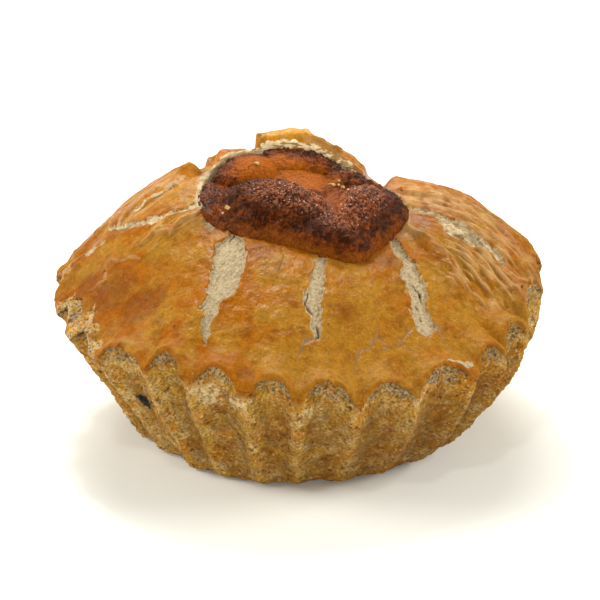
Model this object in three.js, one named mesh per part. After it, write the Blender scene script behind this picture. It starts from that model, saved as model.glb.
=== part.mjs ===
// A curd tart: a deep fluted pastry case, a baked lid split open by a cross cut,
// and the curd filling that has swelled out of the cut.
// Millimetres, +Z up, the front of the tart towards -Y.
// Angles round the tart run from the front to the right, so 90 degrees is +X.
import * as THREE from 'three';

// Main sizes
const RIM_RADIUS = 44.8;
const RIM_WIDER_AT_SIDES = 0.5;
const RIM_LEAN_LEFT = 0.3;
const BASE_RADIUS = 30.4;
const BASE_LEAN_LEFT = 0.9;
const BASE_LEAN_FRONT = 0.8;
const RIM_HEIGHT = 23.5;
const GAP = 0.3;
const SEAT_GAP = 0.45;

// Fluted wall
const FLUTES = 26;
const FLUTE_DEPTH_AT_RIM = 2.6;
const FLUTE_DEPTH_AT_BASE = 1.0;
const WALL_ROUNDNESS = 1.5;
const WALL_LEAN = 0.45;
const SCOOP_ROUNDING = 0.14;
const BASE_EDGE_ROUND = 1.1;
const BASE_EDGE_HEIGHT = 0.66;
const FLOOR_THICKNESS = 3.5;
const FLOOR_RADIUS = 25;

// Degrees that some ridges stand off their even places, by number from the front to the right
const RIDGE_SHIFTS = {
  '-4': 1,
  '-3': 4,
  '-2': 1,
  '-1': 1.5,
  0: -1,
  1: -1.5,
  2: -0.7,
  3: 1.6,
  4: -0.5,
  5: -3.5,
  6: -3,
};

// The rim rises and falls in waves: where in degrees, how wide in degrees, how high in mm
const RIM_WAVES = [
  { at: -112, spread: 30, rise: 2.0 },
  { at: -94, spread: 12, rise: 1.2 },
  { at: -32, spread: 13, rise: 3.0 },
  { at: 18, spread: 24, rise: -2.6 },
  { at: 90, spread: 26, rise: 6.0 },
  { at: 150, spread: 40, rise: 3.0 },
  { at: -155, spread: 40, rise: 2.0 },
];

// Lid
const LID_THICKNESS = 3.0;
const LID_EDGE_THICKNESS = 1.2;
const LID_SEAT = 0.85;
const LID_EDGE_FOLLOWS = 0.8;
const ARCH_POWER = 2.6;
const ARCH_RISE = 2.8;
const ARCH_FADE = 8;
const LID_PLEAT = 0.4;
const LID_PLEAT_FADE = 6;
const LID_SWELL = 0.18;
const LID_SWELL_LENGTH = 21;
const RELIEF_FADE_AT_RIM = 0.12;
const RELIEF_FADE_AT_OPENING = 0.05;
const RELIEF_AT_OPENING = 0.4;

// The opening's edge about its own centre: degrees from the front, radius, height over the rim
const OPENING_CENTRE = { x: 0.5, y: 2.5 };
const OPENING_EDGE = [
  { at: -176, radius: 15.4, height: 22.9 },
  { at: -150, radius: 16.6, height: 22.9 },
  { at: -137, radius: 18.8, height: 22.6 },
  { at: -107, radius: 18.9, height: 20.6 },
  { at: -73, radius: 19.3, height: 19.6 },
  { at: -61, radius: 18.6, height: 17.8 },
  { at: -43, radius: 17.2, height: 17.0 },
  { at: -15, radius: 15.2, height: 15.9 },
  { at: 12, radius: 16.7, height: 14.2 },
  { at: 30, radius: 18.8, height: 12.6 },
  { at: 45, radius: 17.7, height: 13.4 },
  { at: 65, radius: 17.7, height: 14.5 },
  { at: 89, radius: 19.1, height: 15.4 },
  { at: 109, radius: 18.3, height: 17.0 },
  { at: 134, radius: 16.4, height: 18.0 },
  { at: 158, radius: 15.6, height: 20.8 },
];

// The back flap stands above the rest of the edge, from its torn left end round to the right.
// It curls down from its crest to a fraction of its lift at the edge.
const BACK_FLAP = { from: -149, tear: 2.5, to: 148, fade: 24, lift: 2.9, crest: 0.13, edge: 0.35 };

// How full the lid's side is in profile; 1 is a straight slope
const LID_FULLNESS = [
  { at: 0, spread: 60, more: 0.7 },
  { at: 110, spread: 26, more: 2.5 },
  { at: -112, spread: 30, more: 1.1 },
  { at: 176, spread: 22, more: 1.0 },
];

// Splits in the lid that show raw dough: places and widths along each
const CRACK_DEPTH = 0.6;
const CRACKS = [
  [
    { x: -12.5, y: -12.7, width: 3.7 },
    { x: -13, y: -17.1, width: 6.7 },
    { x: -13.6, y: -21.4, width: 5.9 },
    { x: -14.2, y: -25.1, width: 5.4 },
    { x: -16, y: -27.9, width: 3.9 },
    { x: -17.1, y: -31.1, width: 1.5 },
  ],
  [
    { x: 4, y: -15.8, width: 1.5 },
    { x: 3.4, y: -19.6, width: 2.2 },
    { x: 2.1, y: -26, width: 3.9 },
    { x: 2.2, y: -28.5, width: 3.5 },
    { x: 2.8, y: -33.2, width: 1.3 },
  ],
  [
    { x: 16.6, y: -6.1, width: 1.1 },
    { x: 18.8, y: -11.6, width: 2.8 },
    { x: 20.6, y: -17.6, width: 4.1 },
    { x: 21.4, y: -21.4, width: 3.3 },
    { x: 21.4, y: -27.2, width: 3 },
  ],
];

// The arms of the cross cut beyond the opening, to the left, to the right and to the back
const CUTS = [
  {
    depth: 1.0,
    path: [
      { x: -18.5, y: -2.8, width: 2.4 },
      { x: -24.7, y: -3.3, width: 2.2 },
      { x: -31.4, y: -0.3, width: 2 },
      { x: -36.2, y: 4.4, width: 1.2 },
    ],
  },
  {
    depth: 1.1,
    path: [
      { x: 20.2, y: 3.6, width: 2.2 },
      { x: 24.1, y: 2.4, width: 2.6 },
      { x: 27.3, y: -2.2, width: 3 },
      { x: 33.7, y: -3.7, width: 2.4 },
      { x: 36.3, y: -4.3, width: 1.2 },
    ],
  },
  {
    depth: 2.2,
    path: [
      { x: 12.8, y: 12, width: 2.6 },
      { x: 14.4, y: 18, width: 3 },
      { x: 15.6, y: 25, width: 2.4 },
    ],
  },
];

// Lifted folds of the lid; a torn one ends sharply just past its last place
const FOLDS = [
  {
    lift: 1.7,
    torn: true,
    path: [
      { x: -34, y: 5.5, width: 5 },
      { x: -28, y: 6, width: 5.5 },
      { x: -24, y: 8, width: 5.5 },
      { x: -20.3, y: 11, width: 4.5 },
    ],
  },
  {
    lift: 0.9,
    torn: false,
    path: [
      { x: 19.5, y: -1.5, width: 3 },
      { x: 22.6, y: -4.8, width: 5 },
      { x: 26.2, y: -9.3, width: 5 },
      { x: 28.9, y: -16.4, width: 3 },
    ],
  },
];
const TORN_END_REACH = 0.4;
const TORN_END_SLOPE = 0.8;

// A groove is flat over the inner 3/5 of its width, a fold over the inner 3/10
const GROOVE_SHOULDER = 1.6;
const FOLD_SHOULDER = 1.3;

// Lobes of the curd: centre, half lengths, turn in degrees, top and foot over the rim
const LOBES = [
  { x: -6.0, y: -3.0, long: 13.0, wide: 9.8, turn: -8, top: 23.4, foot: 14.5 },
  { x: 12.2, y: -2.6, long: 8.2, wide: 10.6, turn: -20, top: 22.3, foot: 13.5 },
  { x: -11.2, y: 11.2, long: 6.5, wide: 6.5, turn: 30, top: 24.8, foot: 19.0 },
  { x: -2.5, y: 14.5, long: 11.0, wide: 4.0, turn: 0, top: 22.4, foot: 19.5 },
  { x: 9.0, y: 10.5, long: 5.5, wide: 6.0, turn: 0, top: 21.4, foot: 17.5 },
];
const CURD_DISH_HEIGHT = 20.3;
const CURD_ROUNDING = 4;
const CURD_SINK_AT_BACK = 1.6;
const CURD_SINK_AT_FRONT = 0.3;
const CURD_RISE_UNDER_FLAP = 0.4;
const LIP_SLANT_AT_BACK = 1.0;
const LIP_SLANT_AT_FRONT = 0.3;

// The inside of the case half way up: how far out towards the seat, and how high
const MIDDLE_OUT = 0.62;
const MIDDLE_UP = 0.5;

// The opening's back begins at this share of a half turn and is full a like share on
const BACK_FROM = 0.35;

// How finely the solids are faceted
const COLUMNS_A_FLUTE = 6;
const CURD_COLUMNS_A_FLUTE = 3;
const WALL_ROWS = [0.12, 0.28, 0.46, 0.64, 0.82, 1];
const SEAT_ROWS = [0.93, LID_SEAT];
const LID_ROWS = [1, 0.96, 0.9, 0.83, 0.75, 0.67, 0.59, 0.51, 0.43, 0.35, 0.27, 0.2, 0.13, 0.06, 0];
const UNDERSIDE_ROWS = [0, 0.2, 0.45, 0.7, LID_SEAT, 0.93, 1];
const CURD_UNDER_LID_ROWS = [0.7, 0.45, 0.2, 0];
const CURD_TOP_ROWS = [1, 0.96, 0.88, 0.78, 0.66, 0.54, 0.42, 0.28, 0.14];

const FULL_TURN = 2 * Math.PI;
const radians = (degrees) => (degrees * Math.PI) / 180;
const mix = (a, b, share) => a + (b - a) * share;
const clamp = (value) => Math.min(1, Math.max(0, value));

function smooth(value) {
  const v = clamp(value);
  return v * v * (3 - 2 * v);
}

function wrap(angle) {
  return ((((angle + Math.PI) % FULL_TURN) + FULL_TURN) % FULL_TURN) - Math.PI;
}

function hill(angle, at, spread) {
  const off = wrap(angle - radians(at)) / radians(spread);
  return Math.exp(-off * off);
}

// The angle of a place counted in flutes from the front, whole numbers being ridges
function fluteAngle(count) {
  const low = Math.floor(count);
  const shiftAt = (ridge) => RIDGE_SHIFTS[ridge] ?? 0;
  const shift = mix(shiftAt(low), shiftAt(low + 1), count - low);
  return (count * FULL_TURN) / FLUTES + radians(shift);
}

// How far into a scoop a place is: 0 on a ridge, 1 in the middle of a scoop
function scoop(count) {
  const s = Math.abs(Math.sin(Math.PI * count));
  return Math.hypot(s, SCOOP_ROUNDING) - SCOOP_ROUNDING * (1 - s);
}

// The lid's edge arches over each scoop: 0 on a ridge, 1 over the middle of a scoop
function arch(count) {
  return Math.abs(Math.sin(Math.PI * count)) ** ARCH_POWER;
}

function rimHeight(angle) {
  let height = RIM_HEIGHT;
  for (const wave of RIM_WAVES) {
    height += wave.rise * hill(angle, wave.at, wave.spread);
  }
  return height;
}

function rimRadius(angle) {
  return RIM_RADIUS + RIM_WIDER_AT_SIDES * Math.sin(angle) ** 2 - RIM_LEAN_LEFT * Math.sin(angle);
}

// The wall's outer radius, from share 0 at the base to 1 at the rim
function wallRadius(place, share) {
  const power = WALL_ROUNDNESS + WALL_LEAN * Math.sin(place.angle);
  const rim = rimRadius(place.angle);
  const base = BASE_RADIUS - BASE_LEAN_LEFT * Math.sin(place.angle) + BASE_LEAN_FRONT * Math.cos(place.angle);
  const depth = mix(FLUTE_DEPTH_AT_BASE, FLUTE_DEPTH_AT_RIM, share);
  return rim - (rim - base) * (1 - share) ** power - depth * place.scoop;
}

// A smooth periodic curve through the opening's points
function openingValue(angle, key) {
  const count = OPENING_EDGE.length;
  const turned = wrap(angle);
  let first = count - 1;
  for (let i = 0; i < count; i += 1) {
    if (radians(OPENING_EDGE[i].at) <= turned) first = i;
  }
  const point = (i) => OPENING_EDGE[(i + count) % count];
  const start = radians(point(first).at);
  const span = wrap(radians(point(first + 1).at) - start);
  const u = ((turned - start + FULL_TURN) % FULL_TURN) / span;
  const [a, b, c, d] = [-1, 0, 1, 2].map((step) => point(first + step)[key]);
  const bend = 2 * a - 5 * b + 4 * c - d + (3 * b - 3 * c + d - a) * u;
  return b + 0.5 * u * (c - a + bend * u);
}

function flapLift(angle, share) {
  const degrees = (wrap(angle) * 180) / Math.PI;
  const rightEnd = smooth((degrees - BACK_FLAP.to) / BACK_FLAP.fade);
  const leftEnd = smooth((BACK_FLAP.from - degrees) / BACK_FLAP.tear);
  const curl = mix(BACK_FLAP.edge, 1, smooth(share / BACK_FLAP.crest));
  return BACK_FLAP.lift * (degrees > 0 ? rightEnd : leftEnd) * curl * (1 - share) ** 2;
}

function openingEdge(angle, inset) {
  const radius = openingValue(angle, 'radius') - inset;
  return {
    x: OPENING_CENTRE.x + radius * Math.sin(angle),
    y: OPENING_CENTRE.y - radius * Math.cos(angle),
    z: RIM_HEIGHT + openingValue(angle, 'height'),
  };
}

// 1 at the back of the opening, 0 at the front
function backness(angle) {
  return smooth((Math.abs(wrap(angle)) / Math.PI - BACK_FROM) / BACK_FROM);
}

function lipSlant(angle) {
  return mix(LIP_SLANT_AT_FRONT, LIP_SLANT_AT_BACK, backness(angle));
}

function lidFullness(angle) {
  let power = 1;
  for (const part of LID_FULLNESS) power += part.more * hill(angle, part.at, part.spread);
  return power;
}

// How far a point is from a path, in half widths of the path where it is nearest
function offPath(path, x, y) {
  let least = Infinity;
  let half = 1;
  for (let i = 1; i < path.length; i += 1) {
    const [a, b] = [path[i - 1], path[i]];
    const length2 = (b.x - a.x) ** 2 + (b.y - a.y) ** 2;
    const u = clamp(((x - a.x) * (b.x - a.x) + (y - a.y) * (b.y - a.y)) / length2);
    const distance = Math.hypot(x - mix(a.x, b.x, u), y - mix(a.y, b.y, u));
    if (distance < least) {
      least = distance;
      half = mix(a.width, b.width, u) / 2;
    }
  }
  return least / half;
}

// How far a point lies past the last place of a path
function pastEnd(path, x, y) {
  const [a, b] = path.slice(-2);
  return ((x - b.x) * (b.x - a.x) + (y - b.y) * (b.y - a.y)) / Math.hypot(b.x - a.x, b.y - a.y);
}

function foldHeight(fold, x, y) {
  const height = fold.lift * smooth(FOLD_SHOULDER - offPath(fold.path, x, y));
  if (!fold.torn) return height;
  return height * smooth((TORN_END_REACH - pastEnd(fold.path, x, y)) / TORN_END_SLOPE);
}

// How far the lid's skin stands off its plain form at a place in plan
function lidRelief(x, y) {
  const waves = FULL_TURN / LID_SWELL_LENGTH;
  let off = LID_SWELL * Math.sin(waves * x + 1) * Math.sin(waves * y);
  for (const path of CRACKS) off -= CRACK_DEPTH * smooth(GROOVE_SHOULDER - offPath(path, x, y));
  for (const cut of CUTS) off -= cut.depth * smooth(GROOVE_SHOULDER - offPath(cut.path, x, y));
  for (const fold of FOLDS) off += foldHeight(fold, x, y);
  return off;
}

// The lid's plain form: share 0 is the opening's edge, 1 is the rim
function lidPlain(place, share, radius, inset) {
  const inner = openingEdge(place.angle, inset);
  const edge = rimHeight(place.angle);
  const fall = share ** lidFullness(place.angle);
  return {
    x: mix(inner.x, radius * Math.sin(place.angle), share),
    y: mix(inner.y, -radius * Math.cos(place.angle), share),
    z: mix(inner.z, edge, fall),
    slope: (inner.z - edge) * lidFullness(place.angle) * share ** (lidFullness(place.angle) - 1),
    run: radius - Math.hypot(inner.x, inner.y),
  };
}

function lidTop(place, share) {
  const pleat = mix(LID_PLEAT, LID_EDGE_FOLLOWS * place.arch, share ** LID_PLEAT_FADE);
  const plain = lidPlain(place, share, rimRadius(place.angle) - FLUTE_DEPTH_AT_RIM * pleat, 0);
  const length = Math.hypot(plain.slope, plain.run);
  const nearOpening = mix(RELIEF_AT_OPENING, 1, smooth(share / RELIEF_FADE_AT_OPENING));
  const off = lidRelief(plain.x, plain.y) * smooth((1 - share) / RELIEF_FADE_AT_RIM) * nearOpening;
  const out = (off * plain.slope) / length;
  const rise = ARCH_RISE * place.arch * share ** ARCH_FADE + flapLift(place.angle, share);
  return [
    plain.x + out * Math.sin(place.angle),
    plain.y - out * Math.cos(place.angle),
    plain.z + rise + (off * plain.run) / length,
  ];
}

// The lid's underside; drop is how far below it the point lies
function lidUnder(place, share, drop, lift = flapLift(place.angle, share)) {
  const seat = clamp((share - LID_SEAT) / (1 - LID_SEAT));
  const edge = rimRadius(place.angle) - FLUTE_DEPTH_AT_RIM * LID_EDGE_FOLLOWS * place.arch;
  const radius = mix(RIM_RADIUS - FLUTE_DEPTH_AT_RIM, edge, seat);
  const plain = lidPlain(place, share, radius, lipSlant(place.angle));
  const thickness = mix(LID_THICKNESS, LID_EDGE_THICKNESS, share ** 4);
  return [plain.x, plain.y, plain.z + ARCH_RISE * place.arch * seat + lift - thickness - drop];
}

// The curd's top over the opening
function lobeHeight(lobe, x, y) {
  const c = Math.cos(radians(lobe.turn));
  const s = Math.sin(radians(lobe.turn));
  const along = ((x - lobe.x) * c + (y - lobe.y) * s) / lobe.long;
  const across = ((y - lobe.y) * c - (x - lobe.x) * s) / lobe.wide;
  return mix(lobe.foot, lobe.top, Math.sqrt(Math.max(0, 1 - along * along - across * across)));
}

function curdTop(angle, share) {
  const edge = openingEdge(angle, lipSlant(angle) + GAP);
  const x = mix(OPENING_CENTRE.x, edge.x, share);
  const y = mix(OPENING_CENTRE.y, edge.y, share);
  const sink = mix(CURD_SINK_AT_FRONT, CURD_SINK_AT_BACK, backness(angle));
  const edgeHeight = edge.z - sink + CURD_RISE_UNDER_FLAP * flapLift(angle, 0);
  const pool = mix(RIM_HEIGHT + CURD_DISH_HEIGHT, edgeHeight, share * share);
  let top = pool;
  for (const lobe of LOBES) top = Math.max(top, RIM_HEIGHT + lobeHeight(lobe, x, y));
  return [x, y, mix(pool, top, Math.sqrt(1 - share ** CURD_ROUNDING))];
}

// Places round the tart, in flutes from the front
function placesRound(columnsAFlute) {
  const places = [];
  for (let i = 0; i < FLUTES * columnsAFlute; i += 1) {
    const count = i / columnsAFlute - FLUTES / 2;
    places.push({ angle: fluteAngle(count), scoop: scoop(count), arch: arch(count) });
  }
  return places;
}

function circlePoint(place, radius, z) {
  return [radius * Math.sin(place.angle), -radius * Math.cos(place.angle), z];
}

// A closed skin over rings of points; with no caps the last ring joins the first
function skin(rings, firstCap, lastCap) {
  const columns = rings[0].length;
  const points = rings.flat();
  const faces = [];
  const bands = firstCap ? rings.length - 1 : rings.length;
  for (let row = 0; row < bands; row += 1) {
    const low = row * columns;
    const high = ((row + 1) % rings.length) * columns;
    for (let i = 0; i < columns; i += 1) {
      const next = (i + 1) % columns;
      faces.push(low + i, low + next, high + next);
      faces.push(low + i, high + next, high + i);
    }
  }
  if (firstCap) {
    const last = (rings.length - 1) * columns;
    const bottom = points.push(firstCap) - 1;
    const top = points.push(lastCap) - 1;
    for (let i = 0; i < columns; i += 1) {
      const next = (i + 1) % columns;
      faces.push(bottom, next, i);
      faces.push(top, last + i, last + next);
    }
  }
  const geometry = new THREE.BufferGeometry();
  geometry.setAttribute('position', new THREE.Float32BufferAttribute(points.flat(), 3));
  geometry.setIndex(faces);
  return geometry;
}

function floorRing(places, inset) {
  return places.map((place) => circlePoint(place, FLOOR_RADIUS - inset, FLOOR_THICKNESS + inset));
}

// The inside of the wall half way between the floor and the lid's seat
function middleRing(places, inset) {
  return places.map((place) => {
    const [x, y, z] = lidUnder(place, LID_SEAT, GAP);
    const radius = mix(FLOOR_RADIUS, Math.hypot(x, y), MIDDLE_OUT) - inset;
    return circlePoint(place, radius, mix(FLOOR_THICKNESS, z, MIDDLE_UP));
  });
}

function caseGeometry() {
  const places = placesRound(COLUMNS_A_FLUTE);
  const wallTop = (place) => lidUnder(place, 1, SEAT_GAP)[2];
  const rings = [
    places.map((place) => circlePoint(place, wallRadius(place, 0) - BASE_EDGE_ROUND, 0)),
    places.map((place) => circlePoint(place, wallRadius(place, 0), BASE_EDGE_HEIGHT)),
  ];
  for (const share of WALL_ROWS) {
    rings.push(places.map((place) => circlePoint(place, wallRadius(place, share), wallTop(place) * share)));
  }
  for (const share of SEAT_ROWS) rings.push(places.map((place) => lidUnder(place, share, SEAT_GAP)));
  rings.push(middleRing(places, 0));
  rings.push(floorRing(places, 0));
  return skin(rings, [0, 0, 0], [0, 0, FLOOR_THICKNESS]);
}

function lidGeometry() {
  const places = placesRound(COLUMNS_A_FLUTE);
  const rings = LID_ROWS.map((share) => places.map((place) => lidTop(place, share)));
  for (const share of UNDERSIDE_ROWS) rings.push(places.map((place) => lidUnder(place, share, 0)));
  return skin(rings);
}

// The curd under the lid keeps clear of the lifted flap
function curdGeometry() {
  const places = placesRound(CURD_COLUMNS_A_FLUTE);
  const underLid = (place, share, drop) => lidUnder(place, share, drop, 0);
  const rings = [floorRing(places, GAP), middleRing(places, GAP)];
  rings.push(
    places.map((place) => {
      const [x, y, z] = underLid(place, LID_SEAT, 2 * GAP);
      return circlePoint(place, Math.hypot(x, y) - GAP, z);
    }),
  );
  for (const share of CURD_UNDER_LID_ROWS) rings.push(places.map((place) => underLid(place, share, GAP)));
  rings.push(
    places.map((place) => {
      const [x, y] = curdTop(place.angle, 1);
      return [x, y, underLid(place, 0, GAP)[2]];
    }),
  );
  for (const share of CURD_TOP_ROWS) rings.push(places.map((place) => curdTop(place.angle, share)));
  return skin(rings, [0, 0, FLOOR_THICKNESS + GAP], curdTop(0, 0));
}

function piece(name, geometry, colour, roughness) {
  const material = new THREE.MeshStandardMaterial({ color: colour, roughness, metalness: 0 });
  const mesh = new THREE.Mesh(geometry, material);
  mesh.name = name;
  return mesh;
}

const group = new THREE.Group();
group.name = 'curd_tart';
group.add(piece('case', caseGeometry(), '#b98a4a', 0.8));
group.add(piece('lid', lidGeometry(), '#c98430', 0.45));
group.add(piece('filling', curdGeometry(), '#5a2a12', 0.5));

export default group;
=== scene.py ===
# A curd tart: a deep fluted pastry case, a glazed lid split open by a cross cut,
# and the browned curd that has swelled out of it.
# Forms are worked out in millimetres and turned into metres as each mesh is made.
# Angles round the tart run from the front (-Y) to the right, so 90 degrees is +X.
import math

import bmesh
import bpy
import numpy as np
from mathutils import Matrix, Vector, noise


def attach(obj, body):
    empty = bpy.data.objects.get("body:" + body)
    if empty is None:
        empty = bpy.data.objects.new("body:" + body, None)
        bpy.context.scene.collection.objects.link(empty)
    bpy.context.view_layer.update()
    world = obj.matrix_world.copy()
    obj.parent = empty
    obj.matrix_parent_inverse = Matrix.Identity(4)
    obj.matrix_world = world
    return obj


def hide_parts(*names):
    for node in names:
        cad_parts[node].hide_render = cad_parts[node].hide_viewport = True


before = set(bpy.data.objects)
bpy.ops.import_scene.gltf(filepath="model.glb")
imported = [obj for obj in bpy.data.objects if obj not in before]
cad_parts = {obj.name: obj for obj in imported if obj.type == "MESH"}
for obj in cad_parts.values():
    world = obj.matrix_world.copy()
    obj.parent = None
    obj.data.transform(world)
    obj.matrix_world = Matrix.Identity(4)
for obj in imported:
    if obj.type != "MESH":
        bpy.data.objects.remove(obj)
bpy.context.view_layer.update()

MM = 0.001

# Main sizes
RIM_RADIUS = 44.8
RIM_WIDER_AT_SIDES = 0.5
RIM_LEAN_LEFT = 0.3
BASE_RADIUS = 30.4
BASE_LEAN_LEFT = 0.9
BASE_LEAN_FRONT = 0.8
RIM_HEIGHT = 23.5
GAP = 0.3
SEAM = 0.04

# Fluted wall
FLUTES = 26
FLUTE_DEPTH_AT_RIM = 2.6
FLUTE_DEPTH_AT_BASE = 1.0
WALL_ROUNDNESS = 1.5
WALL_LEAN = 0.45
SCOOP_ROUNDING = 0.14
BASE_EDGE_ROUND = 1.1
FLOOR_THICKNESS = 3.5
FLOOR_RADIUS = 25.0

# How many degrees the front ridges stand out of their even places; ridge 0 is the front one
RIDGE_SHIFTS = dict(zip(range(-4, 7), (1.0, 4.0, 1.0, 1.5, -1.0, -1.5, -0.7, 1.6, -0.5, -3.5, -3.0)))

# Swells of the wall: degrees from the front, height, spreads in degrees and mm, how far each stands out
WALL_SWELLS = [
    (-70, 13, 12, 7, -0.7), (-47, 3, 7, 5, -0.5), (-37, 1, 5, 4, 0.4), (-56, 10, 10, 9, -1.05),
    (-13, 0, 12, 4, 0.3), (52, 12, 8, 6, -0.4), (77, 22, 6, 5, -0.15), (-14, 0, 18, 5, 0.8),
    (7, 0, 9, 5, -0.3), (22, 0, 16, 5, 0.4), (64, 9, 8, 5, -0.4), (-96, 25, 9, 8, 0.4),
]

# The rim's waves: degrees from the front, spread in degrees, rise in mm
RIM_WAVES = [
    (-112, 30, 2.0), (-94, 12, 1.2), (-32, 13, 3.0), (18, 24, -2.6), (90, 26, 6.0), (150, 40, 3.0),
    (-155, 40, 2.0),
]

# Where the lid turns up a little at the rim: degrees from the front, spread in degrees, rise in mm
RIM_UPTURNS = [(-7, 17, 2.2), (21, 19, 1.4)]
UPTURN_FADE = 5

# Lid
LID_THICKNESS = 3.0
LID_EDGE_THICKNESS = 1.2
LIP_OVER_ARCH = 0.75
LID_SEAT = 0.85
LID_EDGE_FOLLOWS = 0.8
ARCH_RISE = 2.8
ARCH_FADE = 8
ARCH_HALF_WIDTH = 0.40
ARCH_WIDER = [(68, 24, 0.2)]
ARCH_HIGHER = [(-70, 18, 0.4), (-51, 7, 0.6), (68, 26, 0.9), (0, 32, 0.25)]
LID_PLEAT = 0.4
LID_PLEAT_FADE = 12
LIP_SLANT_AT_BACK = 1.0
LIP_SLANT_AT_FRONT = 0.3
LID_EDGE_FROM = 0.97
LID_EDGE_ROUND = 0.6
LID_FULLNESS = [(0, 60, 0.7), (110, 26, 2.5), (-112, 30, 1.1), (176, 22, 1.0)]

# The least and most of each arch's width, height, roundness and middle between its ridges, drawn by lot
ARCH_SEED = 5
ARCH_WIDTHS = (0.82, 1.1)
ARCH_HEIGHTS = (0.6, 0.95)
ARCH_ROUNDNESSES = (0.6, 1.1)
ARCH_MIDDLES = (0.44, 0.56)

# How ragged the arches' edges are, the size of their tatters, and how fast those fade inwards
ARCH_RAGGEDNESS = 0.2
ARCH_TATTERS = 1.4
ARCH_TATTERS_FADE = 6

# The opening's edge about its own centre: degrees from the front, radius, height over the rim
OPENING_CENTRE = (0.5, 2.5)
OPENING_EDGE = [
    (-176, 15.4, 22.9), (-150, 16.6, 22.9), (-137, 18.8, 22.6), (-107, 18.9, 20.6),
    (-73, 19.3, 19.6), (-61, 18.6, 17.8), (-43, 17.2, 17), (-15, 15.2, 15.9), (12, 16.7, 14.2),
    (30, 18.8, 12.6), (45, 17.7, 13.4), (65, 17.7, 14.5), (89, 19.1, 15.4), (109, 18.3, 17),
    (134, 16.4, 18), (158, 15.6, 20.8),
]

# The back of the tart begins at one share of half a turn from the front, and is full after another
BACK_FROM = 0.35
BACK_FADE = 0.35

# The lifted flap at the back of the opening: its ends in degrees, how soon each fades, its lift and curl
FLAP_FROM = -149
FLAP_TEAR = 2.5
FLAP_TO = 148
FLAP_FADE = 24
FLAP_LIFT = 2.9
FLAP_CREST = 0.13
FLAP_EDGE = 0.35

# Splits that show raw dough: x, y and width of each point
CRACK_DEPTH = 0.55
CRACKS = [
    [
        (-12, -10.6, 2.4), (-12.3, -12.7, 4.4), (-12.8, -17.1, 6.4), (-13.5, -21.4, 5.6),
        (-14.4, -25.1, 4.8), (-16, -27.9, 3), (-16.9, -31.1, 1.5), (-17.1, -35.1, 0.5),
    ],
    [(4, -14.8, 1.4), (3.4, -19.6, 2.2), (2.1, -26, 3.7), (2.2, -28.5, 3.3), (2.8, -33.2, 1.2)],
    [(16.6, -6.1, 1.2), (18.8, -11.6, 2.8), (20.6, -17.6, 4), (21.4, -21.4, 3.4), (21.8, -26.6, 3.2)],
]

# Fine cracks, which are narrower than their listed widths by one share
FINE_CRACK_WIDTH = 0.55
FINE_CRACK_DEPTH = 0.2
FINE_CRACKS = [
    [(-2.9, -14.2, 0.3), (-3.3, -17.7, 0.6), (-3.9, -20.7, 0.4), (-4, -23.5, 0.1)],
    [(2.8, -33.2, 0.8), (0.6, -34.9, 0.9), (-0.2, -36.5, 0.6), (-0.1, -38, 0.2)],
    [(13.7, -28.8, 0.2), (13.5, -31.3, 0.5), (9.9, -35.1, 0.45), (9, -39.2, 0.2)],
    [(13.5, -31.3, 0.5), (16.5, -32.5, 0.35), (19, -31.5, 0.3)],
    [(19.3, -27.2, 0.3), (17.7, -30.8, 0.55), (20.2, -33.4, 0.3)],
    [(24.1, -25.2, 0.4), (25.2, -27.4, 0.5), (26.6, -30.2, 0.3)],
    [(-23.9, -16.4, 0.2), (-24.8, -18.2, 0.3), (-25.2, -21.6, 0.1)],
]

# Gaps in the dough and the pastry, sunk and painted dark as shade
FISSURE_DEPTH = 0.6
FISSURES = [
    [(1.3, -25, 0.15), (1, -27.6, 0.3), (1.6, -29.4, 0.15)],
    [(3, -31.4, 0.15), (2.9, -33, 0.35)],
    [(20, -17, 0.1), (21, -18.8, 0.25), (22.2, -21, 0.15)],
    [(20.6, -22, 0.1), (21.8, -25, 0.2)],
    [(-11.9, -10.4, 0.4), (-12.6, -12, 0.25)],
    [(-36, 3.2, 0.15), (-33, 0.2, 0.3), (-30.6, -1.4, 0.15)],
    [(-31.4, 2.8, 0.05), (-29.8, 3.2, 0.12), (-26.1, 4.4, 0.18), (-23.3, 6.2, 0.1)],
    [(28.2, -1.6, 0.3), (29.4, -2.2, 0.6), (30.6, -2.4, 0.3)],
    [(32.2, -2.8, 0.3), (33.4, -3.4, 0.55), (34.6, -4, 0.2)],
    [(-44.3, -6.2, 0.3), (-42.4, -9, 0.4), (-40.3, -10.9, 0.2)],
]

# How much of the opening's edge is bare of glaze: degrees from the front, spread, width
BARE_LIP_LEAST = 0.3
BARE_LIP = [(-60, 30, 0.5), (-106, 26, 0.7), (40, 60, 0.25), (110, 30, 0.1), (180, 40, 0.3)]

# Where that edge is thin, flaky and light-coloured, its cream also painted brighter as lit: degrees from the
# front, spread, strength; then the same for cuts
PAINTED_LIT_LIP = [(-165, 38, 0.8), (160, 25, 0.65), (-100, 25, 0.3)]
CUT_PAINTED_LIGHT = 0.28

# Pale patches without glaze, then rough brown ones: x, y and radius
BARE_PATCHES = [
    (-16, -6.8, 1.5), (-38.4, 1, 1.3), (-36.9, 0.2, 0.7),
    (29.6, -31.3, 0.5), (28.3, -32.1, 0.55), (27, -32.9, 0.45),
]
ROUGH_PATCHES = [
    (-44.5, 0.8, 2.2), (-44, -8.5, 2.6), (-42.4, -12.6, 2.6), (-40.2, -16.5, 3),
    (-38.9, -20.6, 2.6), (-37.6, -24.6, 1.8),
]

# Patches of the glaze that browned more: x, y and radius
BROWNED = [
    (-7.8, -15.6, 2.6), (-39.5, -8, 3), (-34.5, -14.3, 4.5), (-28.7, -20.7, 4),
    (-16.5, -8.6, 2), (15.9, -13, 1.6), (7.8, -27.8, 2), (21.6, 0.6, 2.6), (25, 6.5, 3.5),
    (-27.4, 3.4, 0.9),
]

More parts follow.
